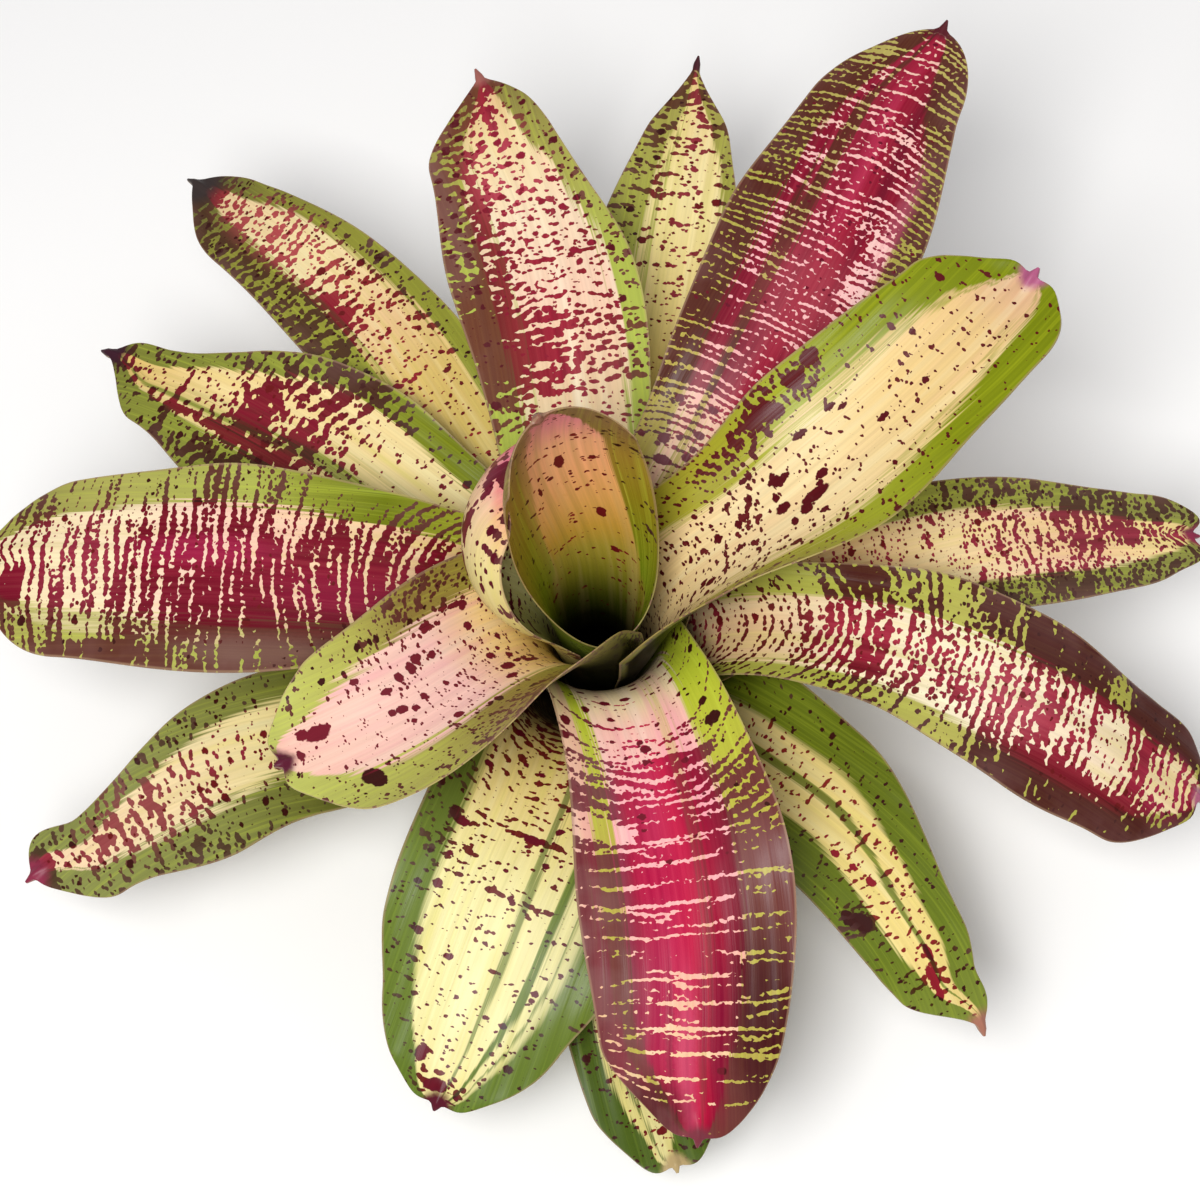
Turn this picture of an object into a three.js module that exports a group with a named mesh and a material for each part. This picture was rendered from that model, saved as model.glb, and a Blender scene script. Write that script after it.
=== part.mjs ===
// A neoregelia bromeliad cut from its root: a funnel of strap-shaped leaves round a short stem.
// Millimetres, +Z up. The origin is the middle of the stem's flat cut end, which stands on the surface.
import * as THREE from "three";

// ---- stem -------------------------------------------------------------------------------------
const STEM_FOOT_RADIUS = 26; // cut end
const STEM_SHOULDER = 2.5; // height of the slope between the foot and the lowest sheath
const STEM_CLEARANCE = 1.2; // from the stem to the middle of the lowest sheath
const STEM_TOP_RADIUS = 4.6;
const STEM_TOP_HEIGHT = 49;
const STEM_SIDES = 24;

// ---- where each leaf leaves the stem: rank 0 is the youngest, at the top ------------------------
const TOP_BASE_RADIUS = 7.2;
const TOP_BASE_HEIGHT = 46;
const RADIUS_STEP = 1.25; // per rank, outwards
const HEIGHT_STEP = 2.2; // per rank, down
const TOP_SHEATH_SLOPE = 80; // degrees above the surface
const SHEATH_SLOPE_STEP = 1.15; // per rank, flatter

// ---- every blade ------------------------------------------------------------------------------
const THICKNESS = 0.8;
const MUCRO_WIDTH = 1.2; // the horny point at the tip
const MUCRO_LENGTH = 0.03; // share of the leaf's length
const MUCRO_ROOT = 0.07; // share of the leaf's width
const SHEATH_FOOT = 0.9; // the sheath's width at the stem, as a share of its widest
const SHEATH_PLACE = 0.55; // where the sheath is widest, as a share of the knee's distance
const WAIST_PLACE = 1.15; // the same for the waist above it
const SHOULDER_PLACE = 0.85; // share of the leaf's length
const APEX_PLACE = 0.945;
const LEAN_START = 0.5; // where a blade begins to lean to one side, and where it leans in full
const LEAN_FULL = 0.8;
const LEAN_END = 0.88; // from here it comes back to the midrib
const KNEE_SPREAD = 30; // half the stretch in which a sheath turns into a blade
const LOOSE_SPREAD = 75; // stretch in which a blade comes away from the round of the stem
const DEFAULT_WRAP = 90; // degrees that a sheath may reach round the stem, each way

// ---- faces ------------------------------------------------------------------------------------
const WRAP_PER_COLUMN = 32; // degrees of the sheath that one face of it may span
const ROWS = 20; // faces along a leaf
const TIP_CROWDING = 1.35; // more rows towards the tip
const STEPS = 200; // steps along the midrib when it is traced

// ---- each leaf, youngest first ------------------------------------------------------------------
// azimuth, slope, cup and roll hold three angles in degrees: where the blade leaves its sheath,
// halfway along the blade, and at the tip. azimuth is the midrib's, slope is its rise, cup is how
// far the margins turn up (down, below 0) and roll lifts one margin above the other.
// knee is the sheath's length, width the blade's full width. shares are the widths of the sheath,
// the waist, the belly, the shoulder and the apex, as shares of width, and belly is its place
// along the leaf. lean moves the outer blade to one side of its midrib (to the greater azimuth), and
// spiral draws one margin of a closed sheath inside the other.
const LEAVES = [
  {
    name: "leaf_01",
    color: 0x9c9a4a,
    azimuth: [114, 128.5, 129.1],
    slope: [80, 76, 104],
    cup: [0, 4, 60],
    roll: [0, 0, 0],
    length: 170,
    knee: 64,
    width: 85,
    shares: [2.3, 1.2, 0.94, 0.82, 0.68],
    belly: 0.64,
    wrap: 188,
    spiral: 0.6,
  },
  {
    name: "leaf_02",
    color: 0xc9938a,
    azimuth: [164.2, 166.9, 113],
    slope: [50, 54, 144],
    cup: [20, 26, 40],
    roll: [0, 0, 0],
    length: 140,
    knee: 72,
    width: 74,
    shares: [1.3, 1.1, 1, 0.94, 0.47],
    belly: 0.65,
  },
  {
    name: "leaf_03",
    color: 0xd8a48c,
    azimuth: [214.8, 218.3, 215.1],
    slope: [26, 16, 0],
    cup: [48, 42, 29],
    roll: [20, 5, 0],
    length: 190,
    knee: 74,
    width: 79,
    shares: [1.35, 1.01, 1, 0.89, 0.53],
    belly: 0.75,
    lean: 3.5,
    wrap: 112,
  },
  {
    name: "leaf_04",
    color: 0xcfc184,
    azimuth: [17.5, 25.1, 32.2],
    slope: [30, 23, 13],
    cup: [54, 30, 26],
    roll: [-18, -2, 0],
    length: 251,
    knee: 76,
    width: 83,
    shares: [1.3, 0.91, 1, 0.74, 0.53],
    belly: 0.6,
    lean: 5.5,
    wrap: 88,
  },
  {
    name: "leaf_05",
    color: 0x9c2f4d,
    azimuth: [290.1, 285.3, 279],
    slope: [16, -10, -38],
    cup: [24, 13, -18],
    roll: [0, 0, 0],
    length: 250,
    knee: 74,
    width: 78,
    shares: [1.15, 0.85, 1, 0.84, 0.42],
    belly: 0.64,
    lean: -1,
  },
  {
    name: "leaf_06",
    color: 0xb5566a,
    azimuth: [176, 178, 177.8],
    slope: [22, 5, -16],
    cup: [20, 4, -24],
    roll: [0, 0, 0],
    length: 272,
    knee: 72,
    width: 85,
    shares: [1.15, 0.77, 1, 0.87, 0.52],
    belly: 0.65,
    lean: -1,
  },
  {
    name: "leaf_07",
    color: 0xa23e50,
    azimuth: [54.5, 57, 60.2],
    slope: [30, 18, 10],
    cup: [26, 4, -30],
    roll: [0, 0, 0],
    length: 301,
    knee: 70,
    width: 77,
    shares: [1.1, 0.7, 1, 0.76, 0.39],
    belly: 0.66,
  },
  {
    name: "leaf_08",
    color: 0x9a4a5c,
    azimuth: [355, 348.8, 344.1],
    slope: [26, -8, -42],
    cup: [40, 8, -28],
    roll: [0, 0, 0],
    length: 281,
    knee: 68,
    width: 71,
    shares: [1.15, 0.67, 1, 0.88, 0.62],
    belly: 0.7,
    lean: -6.5,
  },
  {
    name: "leaf_09",
    color: 0xc98c7c,
    azimuth: [97, 98.2, 103.6],
    slope: [28, 12, 4],
    cup: [20, 6, -12],
    roll: [0, 0, 0],
    length: 258,
    knee: 66,
    width: 72,
    shares: [1.1, 0.82, 1, 0.74, 0.38],
    belly: 0.65,
    lean: 4,
  },
  {
    name: "leaf_10",
    color: 0xb9bf68,
    azimuth: [260, 253.9, 251.7],
    slope: [10, -14, -28],
    cup: [14, 0, -16],
    roll: [0, 0, 0],
    length: 214,
    knee: 64,
    width: 89,
    shares: [1.15, 1.05, 1, 0.77, 0.41],
    belly: 0.71,
    lean: 1,
  },
  {
    name: "leaf_11",
    color: 0xb56a64,
    azimuth: [149, 146.8, 148.7],
    slope: [18, 5, -21],
    cup: [18, 10, 4],
    roll: [0, 0, 0],
    length: 251,
    knee: 62,
    width: 75,
    shares: [1.1, 0.87, 1, 0.52, 0.24],
    belly: 0.65,
    lean: 8,
  },
  {
    name: "leaf_12",
    color: 0xb98d62,
    azimuth: [12, 12.2, 9.6],
    slope: [18, 3, -17],
    cup: [18, 10, 4],
    roll: [0, 0, 0],
    length: 256,
    knee: 60,
    width: 59,
    shares: [1.15, 0.95, 1, 0.74, 0.44],
    belly: 0.63,
    lean: -3,
  },
  {
    name: "leaf_13",
    color: 0xb3a062,
    azimuth: [126, 125, 130],
    slope: [18, 5, -22],
    cup: [18, 10, 4],
    roll: [0, 0, 0],
    length: 280,
    knee: 58,
    width: 58,
    shares: [1.15, 1, 1, 0.75, 0.39],
    belly: 0.57,
    lean: 3,
  },
  {
    name: "leaf_14",
    color: 0xb0b254,
    azimuth: [321, 319.3, 313.2],
    slope: [10, 6, -45],
    cup: [14, 10, 6],
    roll: [0, 0, 0],
    length: 221,
    knee: 56,
    width: 65,
    shares: [1.2, 1.21, 1, 0.56, 0.25],
    belly: 0.49,
    lean: -10,
  },
  {
    name: "leaf_15",
    color: 0xb8b066,
    azimuth: [80, 80.8, 80.7],
    slope: [18, 9, 2],
    cup: [18, 12, 10],
    roll: [0, 0, 0],
    length: 265,
    knee: 54,
    width: 60,
    shares: [1.2, 0.78, 1, 0.6, 0.17],
    belly: 0.63,
    lean: -1.5,
  },
  {
    name: "leaf_16",
    color: 0xbfa86a,
    azimuth: [203, 199.2, 203.6],
    slope: [10, 6, -21],
    cup: [14, 10, 6],
    roll: [0, 0, 0],
    length: 235,
    knee: 52,
    width: 64,
    shares: [1.2, 0.89, 1, 0.6, 0.46],
    belly: 0.65,
    lean: 10.5,
  },
  {
    name: "leaf_17",
    color: 0x9fae50,
    azimuth: [278, 276.1, 278.5],
    slope: [4, -9, -6],
    cup: [14, 10, 6],
    roll: [0, 0, 0],
    length: 197,
    knee: 50,
    width: 62,
    shares: [1.2, 1.11, 1, 0.89, 0.5],
    belly: 0.61,
    lean: 2.5,
  },
];

const rad = THREE.MathUtils.degToRad;
const smooth = THREE.MathUtils.smoothstep;
const mix = THREE.MathUtils.lerp;

// A smooth curve through [place, value] pairs.
function curveThrough(pairs, x) {
  const last = pairs.length - 1;
  let i = 0;
  while (i < last - 1 && x > pairs[i + 1][0]) i += 1;
  const at = (n) => pairs[THREE.MathUtils.clamp(n, 0, last)];
  const slope = (n) => (at(n + 1)[1] - at(n - 1)[1]) / (at(n + 1)[0] - at(n - 1)[0]);
  const [x0, y0] = pairs[i];
  const [x1, y1] = pairs[i + 1];
  const span = x1 - x0;
  const t = THREE.MathUtils.clamp((x - x0) / span, 0, 1);
  const t2 = t * t;
  const t3 = t2 * t;
  const ends = y0 * (2 * t3 - 3 * t2 + 1) + y1 * (3 * t2 - 2 * t3);
  return ends + span * (slope(i) * (t3 - 2 * t2 + t) + slope(i + 1) * (t3 - t2));
}

// The leaf's full width at a share x of its length.
function widthAt(leaf, x) {
  const knee = leaf.knee / leaf.length;
  const tip = 1 - MUCRO_LENGTH;
  if (x >= tip) return mix(leaf.width * MUCRO_ROOT, MUCRO_WIDTH, (x - tip) / MUCRO_LENGTH);
  const [sheath, waist, belly, shoulder, apex] = leaf.shares;
  const shares = [
    [0, sheath * SHEATH_FOOT],
    [knee * SHEATH_PLACE, sheath],
    [knee * WAIST_PLACE, waist],
    [leaf.belly, belly],
    [SHOULDER_PLACE, shoulder],
    [APEX_PLACE, apex],
    [tip, MUCRO_ROOT],
  ];
  return Math.max(leaf.width * curveThrough(shares, x), MUCRO_WIDTH);
}

// An angle at a share of the blade, from its values at the start, the middle and the tip.
function angleAlong([start, middle, end], share) {
  return rad(curveThrough([[-0.5, start], [0, start], [0.5, middle], [1, end]], share));
}

// The midrib, in even steps along it: distance from the axis, height and the angles there.
function traceMidrib(leaf, rank) {
  const sheathSlope = rad(TOP_SHEATH_SLOPE - rank * SHEATH_SLOPE_STEP);
  const step = leaf.length / STEPS;
  const places = [];
  let r = TOP_BASE_RADIUS + rank * RADIUS_STEP;
  let z = TOP_BASE_HEIGHT - rank * HEIGHT_STEP;
  for (let i = 0; i <= STEPS; i += 1) {
    const s = i * step;
    const along = Math.max(0, (s - leaf.knee) / (leaf.length - leaf.knee));
    const turned = smooth(s, leaf.knee - KNEE_SPREAD, leaf.knee + KNEE_SPREAD);
    const opened = smooth(s, leaf.knee - KNEE_SPREAD * 0.8, leaf.knee + KNEE_SPREAD * 1.4);
    const slope = mix(sheathSlope, angleAlong(leaf.slope, along), turned);
    const azimuth = angleAlong(leaf.azimuth, along);
    const cup = angleAlong(leaf.cup, along) * opened;
    const roll = angleAlong(leaf.roll, along) * opened;
    places.push({ s, r, z, slope, azimuth, cup, roll });
    r += Math.cos(slope) * step;
    z += Math.sin(slope) * step;
  }
  return places;
}

function midribAt(places, x) {
  const at = THREE.MathUtils.clamp(x * STEPS, 0, STEPS - 1e-6);
  const i = Math.floor(at);
  const place = {};
  for (const key of Object.keys(places[i])) place[key] = mix(places[i][key], places[i + 1][key], at - i);
  return place;
}

const around = (azimuth, r, z) => new THREE.Vector3(Math.cos(azimuth) * r, Math.sin(azimuth) * r, z);

// A point of the leaf's middle surface: x is the share of its length, u runs from -1 to 1 across it.
function leafPoint(leaf, midrib, x, u) {
  const { s, r, z, slope, cup, roll, azimuth } = midribAt(midrib, x);
  const limit = rad(leaf.wrap ?? DEFAULT_WRAP);
  const leaning = smooth(x, LEAN_START, LEAN_FULL) * (1 - smooth(x, LEAN_END, 1 - MUCRO_LENGTH));
  const half = Math.min(widthAt(leaf, x) / 2, limit * r) * u + (leaf.lean ?? 0) * leaning;

  // wrapped round the stem
  const bend = (cup * 2) / leaf.width + 1e-9;
  const turn = Math.sin(bend * half) / bend / r;
  const lift = (1 - Math.cos(bend * half)) / bend + half * Math.sin(roll);
  const inward = lift + (leaf.spiral ?? 0) * (1 - turn / limit);
  const wrapped = around(azimuth + turn, r - Math.sin(slope) * inward, z + Math.cos(slope) * inward);

  // free of the stem, square to the midrib
  const ahead = midribAt(midrib, Math.min(x + 0.01, 1));
  const behind = midribAt(midrib, x - 0.01);
  const onward = around(ahead.azimuth, ahead.r, ahead.z).sub(around(behind.azimuth, behind.r, behind.z));
  onward.normalize();
  const side = around(azimuth, -Math.sin(slope), Math.cos(slope)).cross(onward).normalize();
  const up = onward.clone().cross(side);
  const round = Math.sin(slope) / r + bend;
  const across = Math.sin(round * half) / round;
  const rise = (1 - Math.cos(round * half)) / round;
  const free = around(azimuth, r, z)
    .addScaledVector(side, across * Math.cos(roll) - rise * Math.sin(roll))
    .addScaledVector(up, across * Math.sin(roll) + rise * Math.cos(roll));

  return wrapped.lerp(free, smooth(s, leaf.knee, leaf.knee + LOOSE_SPREAD));
}

// One leaf as a closed shell of even thickness.
function leafGeometry(leaf, rank) {
  const midrib = traceMidrib(leaf, rank);
  const columns = Math.ceil((leaf.wrap ?? DEFAULT_WRAP) / WRAP_PER_COLUMN) * 2;
  const nudge = 1e-3;
  const points = [];
  for (const face of [1, -1])
    for (let j = 0; j <= ROWS; j += 1) {
      const x = 1 - (1 - j / ROWS) ** TIP_CROWDING;
      for (let i = 0; i <= columns; i += 1) {
        const u = (2 * i) / columns - 1;
        const before = leafPoint(leaf, midrib, Math.max(x - nudge, 0), u);
        const lengthways = leafPoint(leaf, midrib, Math.min(x + nudge, 1), u).sub(before);
        const sideways = leafPoint(leaf, midrib, x, u + nudge).sub(leafPoint(leaf, midrib, x, u - nudge));
        const normal = lengthways.cross(sideways).normalize();
        points.push(leafPoint(leaf, midrib, x, u).addScaledVector(normal, (face * THICKNESS) / 2));
      }
    }

  const perFace = (ROWS + 1) * (columns + 1);
  const at = (face, j, i) => face * perFace + j * (columns + 1) + i;
  const index = [];
  const quad = (a, b, c, d) => index.push(a, b, c, a, c, d);
  for (let j = 0; j < ROWS; j += 1)
    for (let i = 0; i < columns; i += 1) {
      quad(at(0, j, i), at(0, j + 1, i), at(0, j + 1, i + 1), at(0, j, i + 1));
      index.push(at(1, j, i), at(1, j + 1, i + 1), at(1, j + 1, i));
      index.push(at(1, j, i), at(1, j, i + 1), at(1, j + 1, i + 1));
    }
  for (let j = 0; j < ROWS; j += 1) {
    quad(at(0, j, 0), at(1, j, 0), at(1, j + 1, 0), at(0, j + 1, 0));
    quad(at(0, j + 1, columns), at(1, j + 1, columns), at(1, j, columns), at(0, j, columns));
  }
  for (let i = 0; i < columns; i += 1) {
    quad(at(0, 0, i + 1), at(1, 0, i + 1), at(1, 0, i), at(0, 0, i));
    quad(at(0, ROWS, i), at(1, ROWS, i), at(1, ROWS, i + 1), at(0, ROWS, i + 1));
  }
  const geometry = new THREE.BufferGeometry().setFromPoints(points);
  geometry.setIndex(index);
  geometry.computeVertexNormals();
  return geometry;
}

// The stem narrows upwards inside the sheaths and has a flat cut end.
function stemGeometry() {
  const lowest = LEAVES.length - 1;
  const rim = TOP_BASE_HEIGHT - lowest * HEIGHT_STEP;
  const profile = [
    [0, 0],
    [STEM_FOOT_RADIUS, 0],
    [STEM_FOOT_RADIUS, rim - STEM_SHOULDER],
    [TOP_BASE_RADIUS + lowest * RADIUS_STEP - STEM_CLEARANCE, rim],
    [STEM_TOP_RADIUS, TOP_BASE_HEIGHT],
    [0, STEM_TOP_HEIGHT],
  ];
  const points = profile.map(([r, z]) => new THREE.Vector2(r, z));
  return new THREE.LatheGeometry(points, STEM_SIDES).rotateX(Math.PI / 2);
}

const plant = new THREE.Group();

function add(name, geometry, color, roughness) {
  const material = new THREE.MeshStandardMaterial({ color, roughness, metalness: 0 });
  const mesh = new THREE.Mesh(geometry, material);
  mesh.name = name;
  plant.add(mesh);
}

add("stem", stemGeometry(), 0x8d7a52, 0.85);
LEAVES.forEach((leaf, rank) => add(leaf.name, leafGeometry(leaf, rank), leaf.color, 0.4));

export default plant;
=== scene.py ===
import math

import bpy
import numpy as np
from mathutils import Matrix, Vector


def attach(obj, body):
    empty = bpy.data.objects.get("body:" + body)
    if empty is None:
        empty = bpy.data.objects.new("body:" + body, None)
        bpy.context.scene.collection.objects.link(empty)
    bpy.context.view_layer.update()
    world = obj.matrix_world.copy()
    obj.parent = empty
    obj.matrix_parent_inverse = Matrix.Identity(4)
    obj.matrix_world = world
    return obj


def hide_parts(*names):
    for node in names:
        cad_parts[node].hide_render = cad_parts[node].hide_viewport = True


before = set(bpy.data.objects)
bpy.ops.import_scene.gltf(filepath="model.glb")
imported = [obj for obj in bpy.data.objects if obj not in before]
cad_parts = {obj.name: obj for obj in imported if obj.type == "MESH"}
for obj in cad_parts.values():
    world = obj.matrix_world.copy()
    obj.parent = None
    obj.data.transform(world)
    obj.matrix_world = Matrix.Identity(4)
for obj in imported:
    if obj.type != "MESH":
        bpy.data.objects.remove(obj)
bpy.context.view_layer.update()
bpy.ops.object.select_all(action="DESELECT")
print("frame loaded:", len(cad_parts), "nodes")

mm = 0.001

# how the leaves leave the stem, in mm and degrees; the youngest has rank 0
growth = dict(topRadius=7.2, topHeight=46, radiusStep=1.25, heightStep=2.2, topSlope=80, slopeStep=1.15,
              kneeSpread=30, opensBefore=24, opensAfter=42, looseSpread=75, wrap=90, steps=200)
# the finished skin of every leaf, in mm, but the point is a share of the length and its root of the width
skin = dict(thickness=0.8, edgeThickness=0.45, thickest=5.0, rows=150, columns=44,
            pointShare=0.015, pointRoot=0.05, pointEnd=0.9, horn=3.2, hornRidge=1.9,
            groove=0.5, grooveWidth=2.2, pleat=0.12, pleatPitch=7.5,
            wave=0.9, waveTurn=9.5, undulation=0.8, undulationTurn=13, undulationAcross=17,
            lobeAt=9, lobeWidth=6, notchWidth=4, pinchWidth=5)


def hexColour(text):
    # sRGB hex to the linear values that shaders take
    channels = [int(text[i:i + 2], 16) / 255 for i in (1, 3, 5)]
    return (*[c / 12.92 if c <= 0.04045 else ((c + 0.055) / 1.055) ** 2.4 for c in channels], 1)


def addNode(tree, kind, inputs=None, stops=None, **settings):
    # stops are a ramp's places with their colours or numbers
    node = tree.nodes.new("ShaderNode" + kind)
    for key, value in settings.items():
        setattr(node, key, value)
    if stops:
        elements = node.color_ramp.elements
        elements.remove(elements[1])
        for count, (place, colour) in enumerate(stops.items()):
            element = elements[0] if count == 0 else elements.new(place)
            element.position = place
            element.color = hexColour(colour) if isinstance(colour, str) else (colour, colour, colour, 1)
    for key, value in (inputs or {}).items():
        if isinstance(value, bpy.types.Node):
            value = next(socket for socket in value.outputs if socket.enabled)
        if isinstance(value, bpy.types.NodeSocket):
            tree.links.new(value, node.inputs[key])
        else:
            node.inputs[key].default_value = value
    return node


def newMaterial(name):
    # an empty material and its node tree
    material = bpy.data.materials.new(name)
    material.use_nodes = True
    material.node_tree.nodes.clear()
    return material, material.node_tree


def smooth(x, low, high):
    t = np.clip((x - low) / (high - low), 0, 1)
    return t * t * (3 - 2 * t)


def hump(x, width):
    # 1 in the middle, and close to 0 beyond two widths
    return np.exp(-(x / width) ** 2)


def curveThrough(pairs, x):
    # smooth curve through (place, value) pairs
    places, values = np.array(pairs, float).T
    last = len(pairs) - 1
    i = np.clip(np.searchsorted(places, x) - 1, 0, last - 1)

    def slopeAt(n):
        after, before = np.clip(n + 1, 0, last), np.clip(n - 1, 0, last)
        return (values[after] - values[before]) / (places[after] - places[before])

    span = places[i + 1] - places[i]
    t = np.clip((x - places[i]) / span, 0, 1)
    ends = values[i] * (2 * t**3 - 3 * t**2 + 1) + values[i + 1] * (3 * t**2 - 2 * t**3)
    return ends + span * (slopeAt(i) * (t**3 - 2 * t**2 + t) + slopeAt(i + 1) * (t**3 - t**2))


def bladeWidth(leaf, x):
    # sheath, waist, belly, shoulder and apex, closed by a rounded or pointed end, then the horny point
    knee = leaf["knee"] / leaf["length"]
    tip = 1 - skin["pointShare"]
    sheath, waist, belly, shoulder, apex = leaf["shares"]
    shoulderPlace, apexPlace = 0.85, 0.945
    end = leaf.get("tip", {})
    endStart = 1 - end.get("reach", 30) / leaf["length"]

    def closing(place):
        return (1 - np.clip((place - endStart) / (tip - endStart), 0, 1) ** 2) ** end.get("power", 0.5)

    full = apex / closing(apexPlace)
    places = [(0, sheath * 0.9), (knee * 0.55, sheath), (knee * 1.15, waist), (leaf["belly"], belly),
              (shoulderPlace, shoulder / closing(shoulderPlace)), (apexPlace, full),
              (1, max(full * 1.4 - shoulder * 0.4, 0.1))]
    body = leaf["width"] * curveThrough(places, np.minimum(x, tip)) * closing(x)
    root = leaf["width"] * skin["pointRoot"]
    horn = root + (skin["pointEnd"] - root) * (x - tip) / skin["pointShare"]
    return np.where(x < tip, np.maximum(body, root), horn)


def sideLean(leaf, x):
    # how far the belly of the blade stands to one side, in mm
    return leaf.get("lean", 0) * (smooth(x, 0.5, 0.8) * (1 - smooth(x, 0.88, 0.97)))


def acrossAt(leaf, share, x):
    # distance across in mm of a share of the width, 0 and 1 being the margins
    x = np.array(x)
    return float(bladeWidth(leaf, x) / 2 * (share * 2 - 1) + sideLean(leaf, x))


def traceMidrib(leaf, rank):
    # walks up the sheath and out along the blade, and keeps radius, height and angles at every step
    s = np.linspace(0, leaf["length"], growth["steps"] + 1)
    knee = leaf["knee"]
    blade = np.maximum(0, (s - knee) / (leaf["length"] - knee))
    turned = smooth(s, knee - growth["kneeSpread"], knee + growth["kneeSpread"])
    opened = smooth(s, knee - growth["opensBefore"], knee + growth["opensAfter"])
    angles = {}
    for key in ("slope", "azimuth", "cup", "roll"):
        start, middle, end = leaf[key]
        angles[key] = np.radians(curveThrough([(-0.5, start), (0, start), (0.5, middle), (1, end)], blade))
    sheathSlope = math.radians(growth["topSlope"] - rank * growth["slopeStep"])
    slope = sheathSlope + (angles["slope"] - sheathSlope) * turned
    step = leaf["length"] / growth["steps"]
    outward, upward = [np.append(0, np.cumsum(way(slope[:-1]) * step)) for way in (np.cos, np.sin)]
    r = growth["topRadius"] + rank * growth["radiusStep"] + outward
    z = growth["topHeight"] - rank * growth["heightStep"] + upward
    return dict(s=s, r=r, z=z, slope=slope, azimuth=angles["azimuth"],
                cup=angles["cup"] * opened, roll=angles["roll"] * opened)


def aroundAxis(azimuth, r, z):
    return np.stack([np.cos(azimuth) * r, np.sin(azimuth) * r, z + 0 * azimuth], -1)


def unit(v):
    return v / np.linalg.norm(v, axis=-1, keepdims=True)


def bladeRelief(leaf, s, u, across):
    # a groove over the midrib, long pleats, a wavy margin and a slow undulation, in mm
    phase = leaf["length"] * 0.37
    relief = -skin["groove"] * hump(across, skin["grooveWidth"])
    relief = relief + skin["pleat"] * np.cos(across * 2 * math.pi / skin["pleatPitch"])
    relief += skin["wave"] * np.sign(u) * np.abs(u) ** 4 * np.sin(s / skin["waveTurn"] + phase + u)
    relief += (skin["undulation"] * np.sin(s / skin["undulationTurn"] + phase * 2)
               * np.cos(across / skin["undulationAcross"] + phase))
    return relief


def bladePoints(leaf, midrib, x, u):
    # x runs from sheath to point, u from margin to margin; gives points and the distance across, in mm
    length, width, knee = leaf["length"], leaf["width"], leaf["knee"]
    steps = np.linspace(0, 1, growth["steps"] + 1)
    limit = math.radians(leaf.get("wrap", growth["wrap"]))
    r = np.interp(x, steps, midrib["r"])
    across = np.minimum(bladeWidth(leaf, x) / 2, limit * r) * u + sideLean(leaf, x)

    # lobes on both sides of the point stand a little further out than the midrib
    tip = leaf.get("tip", {})
    lobe = hump(np.abs(across) - skin["lobeAt"], skin["lobeWidth"])
    lobe = tip.get("lobe", 0) * lobe * smooth(x, 0.9, 0.965)
    notch = tip.get("notch", 0) * hump(across, skin["notchWidth"]) * smooth(x, 0.9, 0.97)
    x2 = np.clip(x + (lobe - notch) / length, 0, 1)
    s, r, z, slope, cup, roll, azimuth = [np.interp(x2, steps, midrib[key]) for key in
                                          ("s", "r", "z", "slope", "cup", "roll", "azimuth")]

    # sheath form, rolled round the stem's axis
    bend = cup * 2 / width + 1e-9
    turn = np.sin(bend * across) / bend / r
    lift = (1 - np.cos(bend * across)) / bend + across * np.sin(roll)
    inward = lift + leaf.get("spiral", 0) * (1 - turn / limit)
    wrapped = aroundAxis(azimuth + turn, r - np.sin(slope) * inward, z + np.cos(slope) * inward)

    # free form, a channelled blade across the midrib's own frame
    ahead = [np.interp(np.minimum(x2 + 0.01, 1), steps, midrib[key]) for key in ("azimuth", "r", "z")]
    behind = [np.interp(np.maximum(x2 - 0.01, 0), steps, midrib[key]) for key in ("azimuth", "r", "z")]
    onward = unit(aroundAxis(*ahead) - aroundAxis(*behind))
    side = unit(np.cross(aroundAxis(azimuth, -np.sin(slope), np.cos(slope)), onward))
    up = np.cross(onward, side)
    curl = np.sin(slope) / r + bend
    sideways = np.sin(curl * across) / curl + tip.get("side", 0) * smooth(x, 0.86, 1)
    rise = (1 - np.cos(curl * across)) / curl

    # the relief fades out at the sheath and at the point, and the tip bends in its own way
    free = smooth(s, knee + 10, knee + 60) * (1 - smooth(x, 0.93, 0.98))
    rise = rise + bladeRelief(leaf, s, u, across) * free
    beyond = np.maximum(0, x2 - 0.955) / 0.045
    pinch = tip.get("pinch", 0) * hump(across, skin["pinchWidth"]) * smooth(x, 0.88, 0.965)
    rise = rise + tip.get("rise", 0) * beyond ** 1.5 + pinch
    spread = (aroundAxis(azimuth, r, z) + side * (sideways * np.cos(roll) - rise * np.sin(roll))[..., None]
              + up * (sideways * np.sin(roll) + rise * np.cos(roll))[..., None])
    loose = smooth(s, knee, knee + growth["looseSpread"])[..., None]
    return wrapped * (1 - loose) + spread * loose, across


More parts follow.
